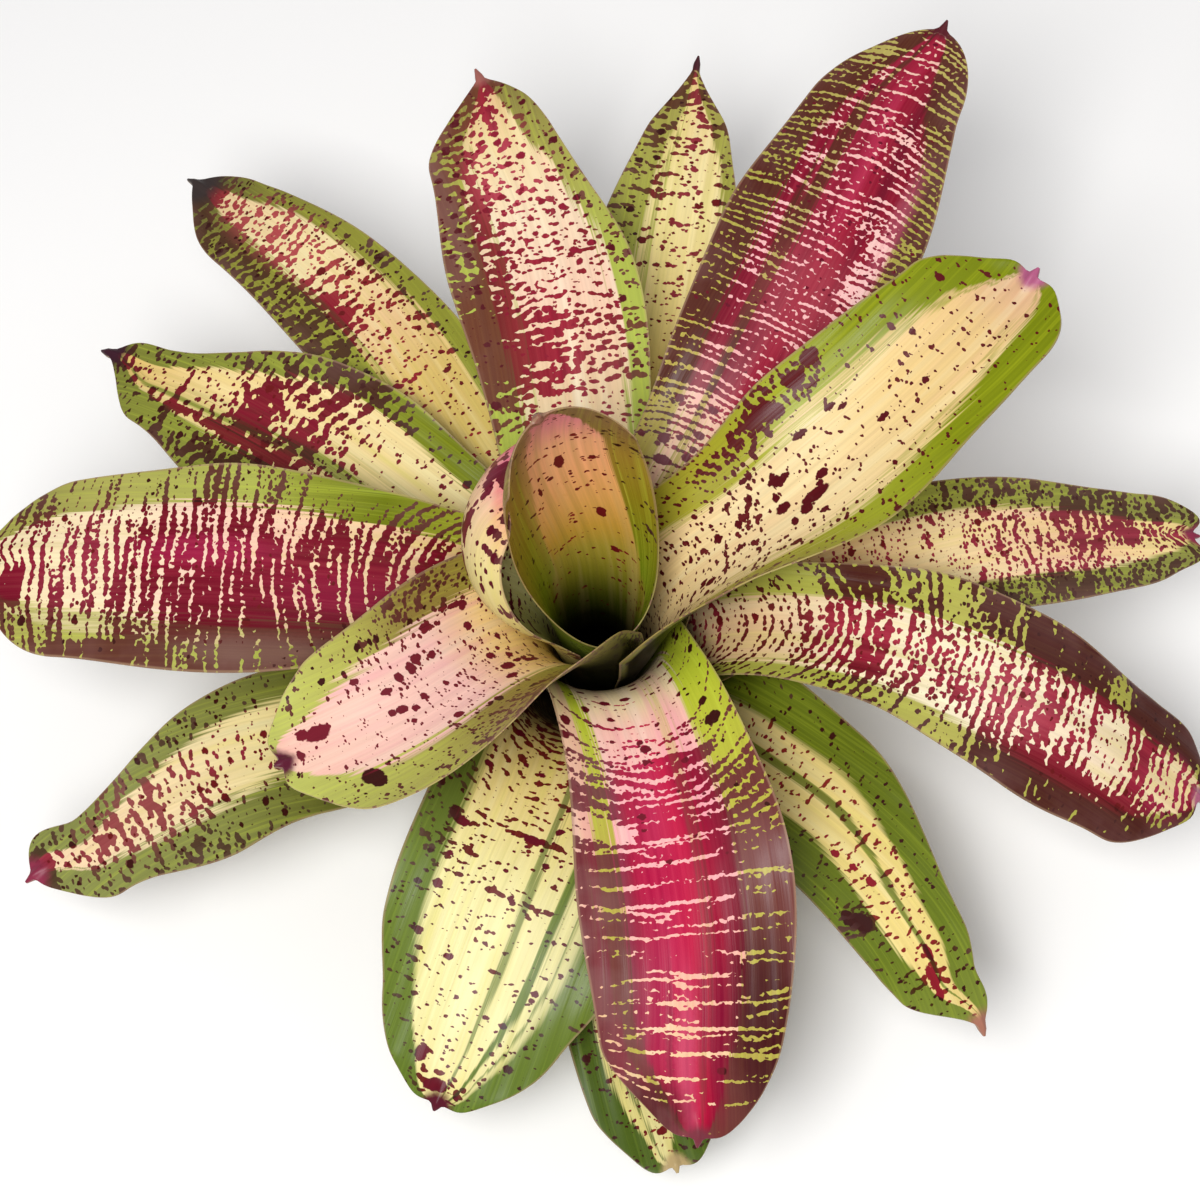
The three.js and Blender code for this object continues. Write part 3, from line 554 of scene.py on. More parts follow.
# angles are those at the blade's start, middle and end, lengths are in mm; shares are the widths of sheath,
# waist, belly, shoulder and apex; marks replace the common ones. Older leaves come later and spring lower
leaves = [
    # the youngest, upright and rolled
    dict(name="leaf_01", azimuth=(114, 128.5, 129.1), slope=(80, 76, 104), cup=(0, 0, 30), roll=(0, 0, 0),
         length=170, knee=64, width=85, shares=(2.3, 1.2, 0.94, 0.82, 0.68), belly=0.64, wrap=188,
         spiral=0.6, columns=72, lean=-5, tip=dict(reach=30),
         marks=dict(
             edges={0.19: 1, 0.22: 0, 0.62: 0, 0.64: 0.6, 0.72: 1}, pinstripe=0.1,
             cream={0: "#3c4408", 0.25: "#5c6414", 0.37: "#8c8424", 0.45: "#a89434", 0.52: "#c89a3c",
                 0.6: "#e0a458", 0.7: "#f0a870", 0.8: "#f8b080", 0.88: "#f49a90", 0.94: "#f08898",
                 1: "#c87078"},
             pale="#d0b070", tint="#8c7c30",
             green={0: "#48660c", 0.45: "#7c8c18", 0.62: "#8c7c1c", 0.75: "#a08030", 0.9: "#8c7040",
                 1: "#8a6c48"},
             levelAlong={0: 0, 1: 0.02},
             dots={0: 0.25, 0.6: 0.15, 1: 0.1}, spots={0: 0.1},
             blotches=[(0.45, 0.745, 4, 7), (0.28, 0.73, 2.5, 3), (0.58, 0.69, 1.5, 5), (0.32, 0.56, 4, 5)],
             # after silver: painted shade towards the foot on both faces, with painted light on the rim
             silver=0.12, rim=0.8, paintedShade={0.14: 0, 0.2: 0.05, 0.28: 0.35, 0.36: 0.8, 0.42: 1},
             paintedUnderShade={0: 0, 0.14: 0.04, 0.2: 0.3, 0.28: 0.75, 0.36: 1}, tip="#8a5a4a")),
    # upright behind the first
    dict(name="leaf_02", azimuth=(164.2, 166.9, 113), slope=(50, 54, 144), cup=(20, 26, 40), roll=(0, 0, 0),
         length=140, knee=72, width=74, shares=(1.16, 1, 1, 0.94, 0.47), belly=0.65, lean=10,
         tip=dict(reach=24),
         marks=dict(
             edges={0.17: 1, 0.22: 0, 0.9: 0, 1: 0.3},
             cream={0: "#c8c470", 0.7: "#dcd488", 0.8: "#e8d898", 0.88: "#f2c4a0", 0.93: "#f07c94",
                 1: "#c04060"},
             green={0: "#a5ac22", 0.8: "#be9832", 0.88: "#e46557", 1: "#a00f2c"},
             levelAlong={0.78: 0.15, 0.88: 0.35, 0.94: 0.6, 1: 0.9},
             levelAcross={0: 2.2, 0.08: 1.6, 0.14: 0.6, 0.86: 0.6, 0.92: 1.6, 1: 2.2},
             patches=[(0.66, 0.82, 5, 60, 0.6), (0.72, 0.92, 8, 16, 0.6)],
             crimson={0: "#5c0820", 0.5: "#781030", 1: "#5c0820"}, deep="#580818",
             spots={0: 0.5}, spot="#5c0c20",
             silver=0)),
    # lower left, deeply channelled
    dict(name="leaf_03", azimuth=(214.8, 218.3, 215.1), slope=(26, 16, 0), cup=(48, 42, 29),
         roll=(20, 5, 0), length=190, knee=74, width=79, shares=(1.35, 1.25, 1, 0.89, 0.53), belly=0.75,
         lean=3.5, wrap=112, tip=dict(reach=26, lobe=2.5, notch=0.5, rise=2),
         marks=dict(
             edges={0.18: 1, 0.21: 0, 0.68: 0, 0.71: 1}, closeIn=1.25,
             cream={0: "#f4d070", 0.4: "#fcd880", 0.48: "#fcd890", 0.54: "#f4c8a8", 0.6: "#f4c4b8",
                 0.8: "#f4c4b4", 1: "#ecb8a4"},
             pale="#f4dcc4", tint="#ee9aa8",
             green={0: "#a8b040", 0.44: "#a8a844", 0.52: "#9c8c40", 0.62: "#8c783c", 0.75: "#b0ac54",
                 1: "#b8bc60"},
             levelAlong={0: 0.2, 0.5: 0.22, 0.6: 0.25, 0.78: 0.1, 1: 0.05},
             levelAcross={0: 1.2, 0.2: 1, 0.3: 0.3, 0.67: 0.3, 0.75: 0.8, 1: 1.3},
             patches=[(0.08, 0.46, 20, 26, -0.35), (0.08, 0.61, 16, 28, 0.25), (0.9, 0.58, 24, 50, 0.22)],
             crimson={0: "#6a1c20", 0.5: "#781a2a", 1: "#744040"}, deep="#5a1018", maroon="#5c2c24",
             reach=5, bead=0.85, beadSize=2,
             dots={0: 0.3, 0.6: 0.2, 0.75: 0.1}, spots={0.45: 0.3, 0.7: 0.2, 0.8: 0.08}, spot="#701a28",
             blotches=[(0.36, 0.9, 6, 9), (0.33, 0.925, 4, 4), (0.74, 0.855, 8, 7), (0.79, 0.85, 6, 5),
                 (0.14, 0.85, 2.5, 3.5), (0.23, 0.79, 2.5, 4), (0.46, 0.735, 3.5, 5), (0.45, 0.755, 3, 3),
                 (0.49, 0.71, 3, 3), (0.33, 0.7, 4, 4), (0.35, 0.74, 2.5, 5), (0.33, 0.665, 5, 4),
                 (0.31, 0.645, 4, 5), (0.34, 0.61, 3.5, 3), (0.23, 0.6, 4, 4), (0.65, 0.665, 3, 4),
                 (0.22, 0.53, 2.5, 6), (0.24, 0.515, 4, 3), (0.33, 0.515, 4, 3), (0.49, 0.51, 3, 3),
                 (0.63, 0.52, 3, 5), (0.57, 0.5, 4, 6), (0.52, 0.47, 3, 3), (0.58, 0.44, 2.5, 7),
                 (0.56, 0.47, 2, 4)],
             # after silver: painted shade towards the foot on both faces, with painted light on the rim
             silver=0.3, rim=0.7, paintedShade={0: 0.1, 0.12: 0.5, 0.24: 1},
             paintedUnderShade={0: 0.02, 0.37: 0.03, 0.41: 0.2, 0.45: 0.7, 0.49: 1}, tip="#5a1c30")),
    # upper right, broad and pale
    dict(name="leaf_04", azimuth=(17.5, 25.1, 32.2), slope=(30, 23, 13), cup=(54, 30, 26),
         roll=(-18, -2, 0), length=251, knee=76, width=83, shares=(1.3, 0.91, 1, 0.76, 0.58), belly=0.6,
         lean=5.5, wrap=88, tip=dict(reach=30, lobe=2, rise=2),
         marks=dict(
             edges={0.17: 1, 0.21: 0, 0.24: 0.5, 0.26: 0, 0.72: 0, 0.74: 0.7, 0.76: 0.2, 0.79: 1},
             closeIn=1.6,
             cream={0: "#dcbc80", 0.3: "#eaca8e", 0.45: "#f0d6a2", 0.6: "#eed49c", 0.75: "#e8c886",
                 0.88: "#e0be80", 0.95: "#d8ac84"},
             pale="#f6e8bc", tint="#e8c090",
             green={0: "#a89c40", 0.45: "#a09a28", 0.6: "#a0a62c", 0.75: "#848e10", 1: "#727e0a"},
             lime="#a2aa1c",
             levelAlong={0.35: 0.12, 0.42: 0.17, 0.5: 0.06, 0.68: 0.02, 1: 0},
             levelAcross={0.2: 0.8, 0.3: 0.9, 0.7: 0.9, 0.8: 1.3},
             patches=[(0.9, 0.6, 15, 46, 0.55), (0.86, 0.5, 14, 34, 0.42), (0.5, 0.445, 26, 4, 0.4),
                 (0.6, 0.365, 18, 2.5, 0.4), (0.45, 0.41, 26, 2.5, 0.2), (0.5, 0.46, 30, 3, 0.25),
                 (0.06, 0.4, 12, 30, 0.25)],
             crimson={0: "#5c1018", 0.5: "#66141a", 1: "#541014"}, deep="#480a10", maroon="#580a0e",
             reach=4, bead=0.9, beadSize=2.6,
             dots={0: 0.3, 0.5: 0.2, 0.62: 0.08, 0.7: 0.04},
             spots={0: 0.5, 0.45: 0.4, 0.6: 0.15, 0.7: 0.04, 1: 0.02}, spot="#560c14", darkSpot="#580a10",
             blotches=[(0.44, 0.55, 5, 12), (0.41, 0.53, 5, 5), (0.5, 0.575, 3.5, 5), (0.47, 0.565, 3, 3),
                 (0.49, 0.5, 4.5, 6), (0.61, 0.52, 3.5, 8), (0.63, 0.51, 3, 6), (0.25, 0.5, 3, 4),
                 (0.66, 0.66, 2, 5), (0.7, 0.645, 2.5, 5), (0.7, 0.585, 3, 7), (0.48, 0.695, 2.5, 5),
                 (0.45, 0.775, 2.5, 3), (0.34, 0.55, 2.5, 4), (0.73, 0.47, 2.5, 4), (0.35, 0.365, 3, 5),
                 (0.94, 0.67, 6, 9), (0.9, 0.63, 7, 8), (0.85, 0.58, 6, 7), (0.9, 0.56, 5, 12)],
             # after the bloom: painted shade towards the foot on both faces, with painted light on the rim
             bloom={0: 0.04}, rim=0.8, paintedShade={0: 0.1, 0.12: 0.5, 0.24: 1},
             paintedUnderShade={0: 0.02, 0.36: 0.03, 0.46: 0.4, 0.52: 1}, tip="#b05c80", tipReach=6)),
    # the broad crimson one at the front
    dict(name="leaf_05", azimuth=(290.1, 285.3, 279), slope=(16, -10, -38), cup=(24, 13, -18),
         roll=(0, 0, 0), length=250, knee=74, width=78, shares=(1.15, 0.85, 1, 0.84, 0.5), belly=0.64,
         lean=-1, tip=dict(reach=34, lobe=1.5, side=4),
         marks=dict(
             edges={0: 0.2, 0.08: 0.3, 0.11: 1, 0.19: 1, 0.22: 0, 0.55: 0, 0.58: 0.5, 0.61: 0, 0.74: 0,
                 0.77: 1},
             closeIn=1.5,
             cream={0: "#f4dca0", 0.33: "#f4dcac", 0.38: "#f4bcac", 0.5: "#f2a8ac", 0.65: "#f4a8a8",
                 0.78: "#f0b498", 0.88: "#f0c898", 1: "#e0a890"},
             pale="#f4dcc8", tint="#e88aa4",
             green={0: "#b4c030", 0.35: "#b8c434", 0.6: "#b4a448", 1: "#b0a04c"},
             levelAlong={0: 0.02, 0.36: 0.04, 0.4: 0.15, 0.43: 0.42, 0.47: 0.6, 0.52: 0.75, 0.57: 0.88,
                 0.61: 1.17, 0.68: 1.12, 0.8: 1.07},
             levelAcross={0: 1.05, 0.2: 0.95, 0.4: 1, 0.8: 1, 1: 1.05},
             patches=[(0.5, 0.87, 74, 1.8, -0.8), (0.55, 0.835, 60, 1.4, -0.75), (0.5, 0.8, 56, 1.4, -0.7),
                 (0.4, 0.765, 60, 1.2, -0.6), (0.55, 0.705, 60, 1, -0.5), (0.55, 0.66, 70, 1.6, -0.8),
                 (0.5, 0.63, 70, 1.8, -0.85), (0.45, 0.6, 60, 1.4, -0.7), (0.5, 0.575, 60, 1.4, -0.6),
                 (0.5, 0.905, 60, 1.2, -0.6), (0.5, 0.935, 40, 1.2, -0.6), (0.5, 0.85, 50, 1, -0.5),
                 (0.45, 0.82, 12, 30, -0.28), (0.1, 0.53, 16, 12, -0.7), (0.22, 0.55, 14, 8, -0.6),
                 (0.9, 0.46, 14, 16, -0.3)],
             crimson={0: "#69242c", 0.22: "#89223f", 0.28: "#a40e3a", 0.4: "#b8244e", 0.5: "#c01d46",
                 0.6: "#a80733", 0.68: "#89042c", 0.78: "#691324", 1: "#540f16"},
             deep="#840c30", maroon="#6c3430",
             # the first tone, pale pink down the middle of the blade, is a painted highlight
             tones=[(0.47, 0.86, 8, 60, "#d85c7c", 0.45), (0.3, 0.8, 12, 60, "#a02c50", 0.4),
                 (0.64, 0.85, 8, 60, "#80002c", 0.8), (0.9, 0.84, 28, 80, "#400810", 0.95),
                 (0.08, 0.95, 26, 24, "#4c1014", 0.85), (0.86, 0.6, 20, 30, "#7c4c4c", 0.6),
                 (0.4, 0.62, 20, 26, "#b0003c", 0.6), (0.38, 0.85, 3, 60, "#7c0c30", 0.6),
                 (0.56, 0.8, 3, 50, "#8c1038", 0.6)],
             reach=34, pitch=2.6, arch=14, archLow=46, ripple=0.14, period=3.5, bead=0.6, beadSize=1.8,
             cloud=0.2,
             dots={0: 0.1, 0.5: 0.15, 0.6: 0}, spots={0: 0.2, 0.3: 0.45, 0.4: 0.2, 0.5: 0.05, 1: 0.02},
             spot="#6c1424",
             blotches=[(0.86, 0.42, 7, 4), (0.45, 0.422, 4, 3), (0.45, 0.315, 4, 3), (0.33, 0.32, 4, 3),
                 (0.05, 0.37, 4, 4), (0.2, 0.34, 3, 4)],
             bloom={0: 0.4, 0.22: 0.3, 0.3: 0, 0.62: 0, 0.7: 0.06}, tip="#7c3440")),
    # left, long and banded
    dict(name="leaf_06", azimuth=(176, 178, 177.8), slope=(22, 5, -16), cup=(20, 4, -24), roll=(0, 0, 0),
         length=272, knee=72, width=85, shares=(1.15, 0.77, 1, 0.87, 0.64), belly=0.65, lean=-1,
         tip=dict(reach=34, lobe=3, notch=1),
         marks=dict(
             edges={0.18: 1, 0.2: 0, 0.75: 0, 0.79: 0.9, 0.84: 0.5, 0.88: 1}, closeIn=1.2,
             cream={0: "#d8ac80", 0.35: "#dcb084", 0.48: "#e8c49c", 0.6: "#f0c0a8", 0.7: "#f2c8b4",
                 0.8: "#f2dab4", 1: "#ecd8ac"},
             green={0: "#b4a45c", 0.35: "#94982c", 0.45: "#6c7608", 0.55: "#8c9230", 0.62: "#a8ac50",
                 0.8: "#aca858", 1: "#a09c4c"},
             levelAlong={0: 0.78, 0.35: 0.85, 0.45: 0.86, 0.55: 0.88, 0.62: 0.92, 0.7: 0.8, 0.8: 0.6,
                 1: 0.5},
             levelAcross={0: 0.35, 0.17: 0.45, 0.24: 0.68, 0.4: 0.95, 0.7: 1.05, 1: 1.15},
             patches=[(0.1, 0.67, 18, 12, 0.45), (0.1, 0.93, 16, 20, 0.3), (0.1, 0.4, 14, 30, 0.15),
                 (0.6, 0.6, 36, 10, 0.1), (0.62, 0.94, 16, 10, 0.6), (0.85, 0.84, 10, 14, -0.5),
                 (0.4, 0.9, 18, 10, -0.15), (0.85, 0.91, 12, 8, -0.2), (0.28, 0.57, 12, 14, -0.25),
                 (0.96, 0.82, 10, 40, 0.3)],
             crimson={0: "#5c0616", 0.3: "#770821", 0.5: "#850d2a", 0.7: "#750924", 1: "#4e0b13"},
             deep="#57040e", maroon="#5c3024",
             tones=[(0.45, 0.85, 50, 40, "#ac4054", 0.4), (0.9, 0.6, 16, 70, "#806054", 0.6),
                 (0.42, 0.68, 14, 60, "#a81c4c", 0.6), (0.6, 0.5, 20, 50, "#94103c", 0.5)],
             reach=24, pitch=2.2, archLow=60, warp=6, ripple=0.15, period=3.8, bead=0.6, beadSize=1.9,
             cloud=0.3,
             dots={0: 0.1}, spots={0: 0.05},
             tip="#e0c0a0", tipReach=4)),
    # upper right, behind, dark with fine pale lines
    dict(name="leaf_07", azimuth=(54.5, 57, 60.2), slope=(30, 18, 10), cup=(26, 4, -30), roll=(0, 0, 0),
         length=301, knee=70, width=77, shares=(1.1, 0.7, 1, 0.77, 0.47), belly=0.66,
         tip=dict(reach=30, power=0.55, side=-9),
         marks=dict(
             edges={0.13: 1, 0.17: 0, 0.6: 0, 0.62: 0.9, 0.68: 0.9, 0.7: 0, 0.78: 0, 0.82: 1},
             cream={0: "#e4c094", 0.38: "#ecc49c", 0.46: "#f0b4ac", 0.6: "#f4bcb8", 0.8: "#f2bcb4",
                 1: "#ecc0a8"},
             pale="#f6dcd0", tint="#eea0a8",
             green={0: "#a89c38", 0.45: "#b8a450", 0.7: "#a89e48", 1: "#b8a860"},
             levelAlong={0: 0.1, 0.38: 0.2, 0.42: 0.6, 0.45: 0.85, 0.5: 0.98, 0.62: 0.93, 0.7: 0.84,
                 0.8: 0.8, 0.88: 0.8, 0.94: 0.85, 0.97: 0.95},
             levelAcross={0.15: 1, 0.3: 0.95, 0.5: 1, 0.66: 1.02, 0.78: 1},
             patches=[(0.3, 0.88, 24, 14, 0.15), (0.22, 0.64, 12, 40, -0.45), (0.1, 0.68, 10, 20, -0.3),
                 (0.92, 0.94, 12, 14, -0.5), (0.06, 0.9, 10, 40, -0.15)],
             crimson={0: "#541317", 0.2: "#800924", 0.4: "#9a1131", 0.6: "#941a36", 0.75: "#890e2c",
                 1: "#521114"},
             deep="#6f0822", maroon="#56281e",
             tones=[(0.45, 0.6, 40, 50, "#b04c58", 0.4), (0.3, 0.8, 6, 90, "#5c0820", 0.6),
                 (0.46, 0.8, 7, 90, "#c03458", 0.5), (0.18, 0.72, 9, 60, "#b05064", 0.6),
                 (0.9, 0.7, 14, 120, "#4c1814", 0.6)],
             reach=30, pitch=1.7, arch=14, archLow=20, warp=7, jag=0.6, ripple=0.16, period=2.9, bead=0.65,
             beadSize=1.7, cloud=0.15,
             dots={0: 0.1}, spots={0: 0.3, 0.36: 0.45, 0.42: 0.2, 0.46: 0}, spot="#680c24",
             darkSpot="#641020", blotches=[(0.74, 0.335, 8, 4), (0.8, 0.36, 5, 4)],
             tip="#5a2028")),
    # right, hanging, with pale windows
    dict(name="leaf_08", azimuth=(355, 348.8, 344.1), slope=(26, -8, -42), cup=(40, 8, -28), roll=(0, 0, 0),
         length=281, knee=68, width=71, shares=(1.15, 0.67, 1, 0.88, 0.66), belly=0.7, lean=-6.5,
         tip=dict(reach=38, lobe=1.5, notch=1, rise=1),
         marks=dict(
             edges={0.15: 1, 0.2: 0, 0.72: 0, 0.76: 1}, closeIn=1.25,
             cream={0: "#d8ac80", 0.33: "#e8c090", 0.45: "#f6e0bc", 0.6: "#f8eac8", 0.8: "#f6dfc0",
                 0.9: "#f0d8a8", 1: "#ecc898"},
             green={0: "#a89848", 0.45: "#aeb048", 0.6: "#b6b056", 0.8: "#aeaa4a", 1: "#a8a04c"},
             lime="#a8b048",
             levelAlong={0.35: 0.2, 0.4: 0.36, 0.44: 0.68, 0.5: 0.68, 0.55: 0.52, 0.6: 0.48, 0.64: 0.5,
                 0.7: 0.58, 0.76: 0.62, 0.8: 0.46, 0.9: 0.55, 1: 0.5},
             levelAcross={0: 0.95, 0.1: 1, 0.24: 1.05, 0.5: 1, 0.7: 1, 0.78: 1.15, 1: 1.2},
             patches=[(0.9, 0.47, 10, 12, 0.5), (0.82, 0.55, 8, 8, 0.4), (0.92, 0.63, 12, 16, 0.5),
                 (0.48, 0.825, 30, 13, -0.6), (0.48, 0.885, 34, 8, 0.4), (0.87, 0.82, 13, 20, -0.75),
                 (0.12, 0.58, 22, 30, -0.45), (0.86, 0.55, 18, 40, -0.3), (0.06, 0.84, 28, 110, 0.75),
                 (0.92, 0.84, 24, 110, 0.7), (0.5, 0.93, 20, 8, -0.2), (0.1, 0.45, 12, 40, -0.3)],
             crimson={0: "#4f1814", 0.22: "#781020", 0.3: "#911830", 0.5: "#aa2c42", 0.72: "#8d1a2e",
                 1: "#571c18"},
             deep="#6c0c20", maroon="#4c1e18",
             tones=[(0.45, 0.68, 30, 40, "#b84c5c", 0.6), (0.5, 0.34, 90, 46, "#541c12", 0.8),
                 (0.45, 0.93, 30, 22, "#b02c54", 0.6)],
             reach=20, pitch=2.4, arch=10, archLow=60, warp=7, jag=0.7, ripple=0.17, period=3.6, bead=0.95,
             beadSize=2.6, cloud=0.25,
             dots={0: 0.2}, spots={0: 0.08},
             tip="#a8607a", tipReach=5)),
    # at the back
    dict(name="leaf_09", azimuth=(97, 98.2, 103.6), slope=(28, 12, 4), cup=(20, 6, -12), roll=(0, 0, 0),
         length=258, knee=66, width=72, shares=(1.1, 0.82, 1, 0.74, 0.38), belly=0.65, lean=4,
         tip=dict(reach=34, power=1, side=-5),
         marks=dict(
             edges={0.12: 1, 0.16: 0, 0.68: 0, 0.7: 0.6, 0.72: 0.1, 0.78: 0.2, 0.81: 1},
             cream={0: "#e0cc90", 0.4: "#e8d09c", 0.5: "#ecc8a0", 0.62: "#f2ccb0", 0.75: "#f4dcb8",
                 0.88: "#ecd498", 1: "#d8a870"},
             pale="#f6ecd0", tint="#eec0a4",
             green={0: "#9cac34", 0.5: "#acb850", 0.65: "#aeb84e", 0.8: "#a8a450", 1: "#80703c"},
             levelAlong={0: 0.2, 0.46: 0.22, 0.49: 0.55, 0.585: 0.55, 0.61: 0.26, 0.7: 0.24, 0.78: 0.3,
                 0.82: 0.24, 0.9: 0.3, 1: 0.45},
             levelAcross={0: 0.5, 0.3: 0.6, 0.55: 1.1, 0.68: 1.5, 0.8: 1.8, 1: 2.2},
             patches=[(0.5, 0.968, 14, 9, 0.8), (0.45, 0.672, 40, 2.2, 0.5), (0.71, 0.75, 5, 90, 0.5),
                 (0.88, 0.72, 16, 90, 0.35), (0.48, 0.92, 9, 9, 0.5), (0.4, 0.79, 40, 4, 0.15),
                 (0.5, 0.58, 44, 2.2, 0.35), (0.5, 0.562, 44, 2, 0.35), (0.48, 0.54, 44, 2, 0.35),
                 (0.5, 0.52, 44, 2, 0.35), (0.5, 0.5, 40, 1.8, 0.3), (0.8, 0.56, 20, 40, 0.2)],
             crimson={0: "#7c2424", 0.5: "#9c1c34", 1: "#702b21"}, deep="#680c1a", maroon="#6c3c28",
             tones=[(0.45, 0.82, 40, 50, "#c0485a", 0.7), (0.95, 0.8, 16, 80, "#886058", 0.5)],
             reach=3.2, reachLow=14, pitch=2.6, arch=4, archLow=16, ripple=0.12, period=3.6, bead=0.95,
             beadSize=3.2, cloud=0.3,
             dots={0: 0.25, 0.6: 0.3, 0.64: 0.4}, spots={0: 0.2, 0.58: 0.3, 0.64: 0.7}, spot="#8c1c30",
             darkSpot="#56101a",
             tip="#a06058", tipReach=5)),
    # front left, pale with dark green margins
    dict(name="leaf_10", azimuth=(260, 253.9, 251.7), slope=(10, -14, -28), cup=(14, 0, -16),
         roll=(0, 0, 0), length=214, knee=64, width=89, shares=(1.15, 1.05, 1, 0.77, 0.48), belly=0.71,
         lean=1, tip=dict(reach=34, lobe=2, pinch=1),
         marks=dict(
             edges={0.15: 1, 0.18: 0, 0.525: 0, 0.535: 0.8, 0.55: 0.8, 0.56: 0, 0.66: 0, 0.672: 1, 0.695: 1,
                 0.71: 0.1, 0.75: 0.1, 0.76: 0.9, 0.78: 0.2, 0.8: 0.3, 0.83: 1},
             closeIn=1.35, pinstripe=0.05, stripe=0.06,
             cream={0: "#b8a05c", 0.35: "#c8b068", 0.45: "#e0ca80", 0.6: "#eae09e", 0.85: "#eae09e",
                 1: "#e4d48a"},
             pale="#f4eab0", tint="#d0c860",
             green={0: "#4c5c1c", 0.45: "#566420", 0.6: "#66782c", 0.8: "#66782c", 1: "#5c7024"},
             lime="#7c9030",
             levelAlong={0: 0.6, 0.34: 0.5, 0.38: 0.25, 0.42: 0.2, 0.5: 0.14, 0.6: 0.12, 0.8: 0.08,
                 0.9: 0.05, 1: 0.2},
             levelAcross={0: 1, 0.18: 1.1, 0.3: 1, 1: 0.9},
             patches=[(0.45, 0.62, 60, 3.5, 0.34), (0.65, 0.625, 26, 3, 0.2), (0.5, 0.516, 24, 3.5, 0.5),
                 (0.15, 0.56, 26, 20, 0.25), (0.3, 0.5, 20, 5, 0.25), (0.1, 0.8, 12, 40, 0.15),
                 (0.42, 0.95, 22, 8, 0.5), (0.27, 0.92, 9, 9, 0.3), (0.5, 0.44, 50, 3, 0.2),
                 (0.5, 0.41, 50, 3, 0.25)],
             crimson={0: "#581812", 0.5: "#701c18", 1: "#581812"}, deep="#480e0c", maroon="#443018",
             reach=5, pitch=2.3, arch=4, archLow=60, bead=0.6, cloud=0.3,
             dots={0: 0.2, 0.6: 0.15, 1: 0.12}, spots={0: 0.2, 0.6: 0.1, 1: 0.12}, spot="#620e1e",
             blotches=[(0.27, 0.915, 5, 6), (0.42, 0.955, 9, 5), (0.48, 0.515, 9, 3), (0.18, 0.53, 7, 4),
                 (0.14, 0.52, 4, 5)],
             tip="#5a1828")),
    # left, behind
    dict(name="leaf_11", azimuth=(149, 146.8, 148.7), slope=(18, 5, -21), cup=(18, 10, 4), roll=(0, 0, 0),
         length=251, knee=62, width=75, shares=(1.1, 0.87, 1, 0.52, 0.24), belly=0.65, lean=8,
         tip=dict(reach=32, power=1),
         marks=dict(
             edges={0.15: 1, 0.18: 0, 0.4: 0, 0.43: 0.3, 0.45: 0, 0.5: 0.3, 0.53: 1, 0.57: 0.8, 0.6: 0.1,
                 0.68: 0.2, 0.71: 1},
             cream={0: "#e0cc8c", 0.45: "#e6d092", 0.6: "#eed294", 0.8: "#eed28e", 0.95: "#e8c070",
                 1: "#e0b070"},
             green={0: "#6c7808", 0.45: "#747e06", 0.65: "#8e943a", 1: "#7c7e34"},
             levelAlong={0: 0.02, 0.5: 0.05, 0.55: 0.2, 0.58: 0.45, 0.62: 0.6, 0.72: 0.5, 0.78: 0.12,
                 0.88: 0.06, 0.95: 0.2, 1: 0.3},
             levelAcross={0: 1.2, 0.15: 1, 0.3: 0.95, 0.5: 1.2, 0.6: 1.5, 1: 1.3},
             patches=[(0.75, 0.83, 42, 3.6, 0.85), (0.61, 0.75, 4.5, 60, 0.8), (0.42, 0.7, 30, 14, 0.45),
                 (0.5, 0.62, 44, 4, 0.4), (0.5, 0.595, 40, 2.5, 0.3), (0.45, 0.95, 14, 9, 0.5),
                 (0.85, 0.78, 16, 30, 0.35), (0.08, 0.55, 12, 30, 0.35)],
             crimson={0: "#5c1418", 0.4: "#84162c", 0.6: "#841828", 1: "#4c1614"}, deep="#560d0d",
             maroon="#48281a",
             reach=6, pitch=2.6, arch=10, ripple=0.08, bead=0.85, beadSize=3,
             dots={0: 0.12, 0.52: 0.1, 0.62: 0.3, 1: 0.25}, spots={0: 0.06, 0.52: 0.1, 0.62: 0.3, 1: 0.25},
             tip="#3c1c28", tipReach=9)),
    # right, low
    dict(name="leaf_12", azimuth=(12, 12.2, 9.6), slope=(18, 3, -17), cup=(18, 10, 4), roll=(0, 0, 0),
         length=256, knee=60, width=59, shares=(1.15, 0.95, 1, 0.74, 0.5), belly=0.63, lean=-3,
         tip=dict(reach=24, lobe=4.5, notch=4),
         marks=dict(
             edges={0.22: 1, 0.27: 0, 0.74: 0, 0.78: 1}, closeIn=1.5,
             cream={0: "#d8b47c", 0.45: "#dcb47c", 0.6: "#f2d6a0", 0.7: "#f2cca0", 0.8: "#f0c098",
                 0.9: "#f2d494", 1: "#ecd088"},
             green={0: "#747a28", 0.6: "#92943e", 0.8: "#8c8e3a", 1: "#8c8c44"},
             levelAlong={0: 0.12, 0.55: 0.14, 0.62: 0.28, 0.68: 0.4, 0.76: 0.54, 0.8: 0.64, 0.86: 0.55,
                 0.92: 0.5},
             levelAcross={0: 1.4, 0.2: 1.2, 0.35: 0.8, 0.5: 1.1, 0.7: 1, 0.8: 1.2, 1: 1.3},
             patches=[(0.4, 0.8, 46, 3, 0.3), (0.62, 0.87, 16, 8, 0.3), (0.4, 0.9, 10, 10, -0.2)],
             crimson={0: "#641c24", 0.3: "#94283c", 0.6: "#9c2c40", 0.8: "#7c2830", 1: "#5c2018"},
             deep="#5c1018", maroon="#4c3020",
             reach=7, reachLow=10, pitch=2.8, bead=0.85, beadSize=2,
             dots={0: 0.3}, spots={0: 0.15},
             tip="#8a3048")),
    # back left
    dict(name="leaf_13", azimuth=(126, 125, 130), slope=(18, 5, -22), cup=(18, 10, 4), roll=(0, 0, 0),
         length=280, knee=58, width=58, shares=(1.15, 1, 1, 0.75, 0.39), belly=0.57, lean=3,
         tip=dict(reach=28, power=0.7, side=-3),
         marks=dict(
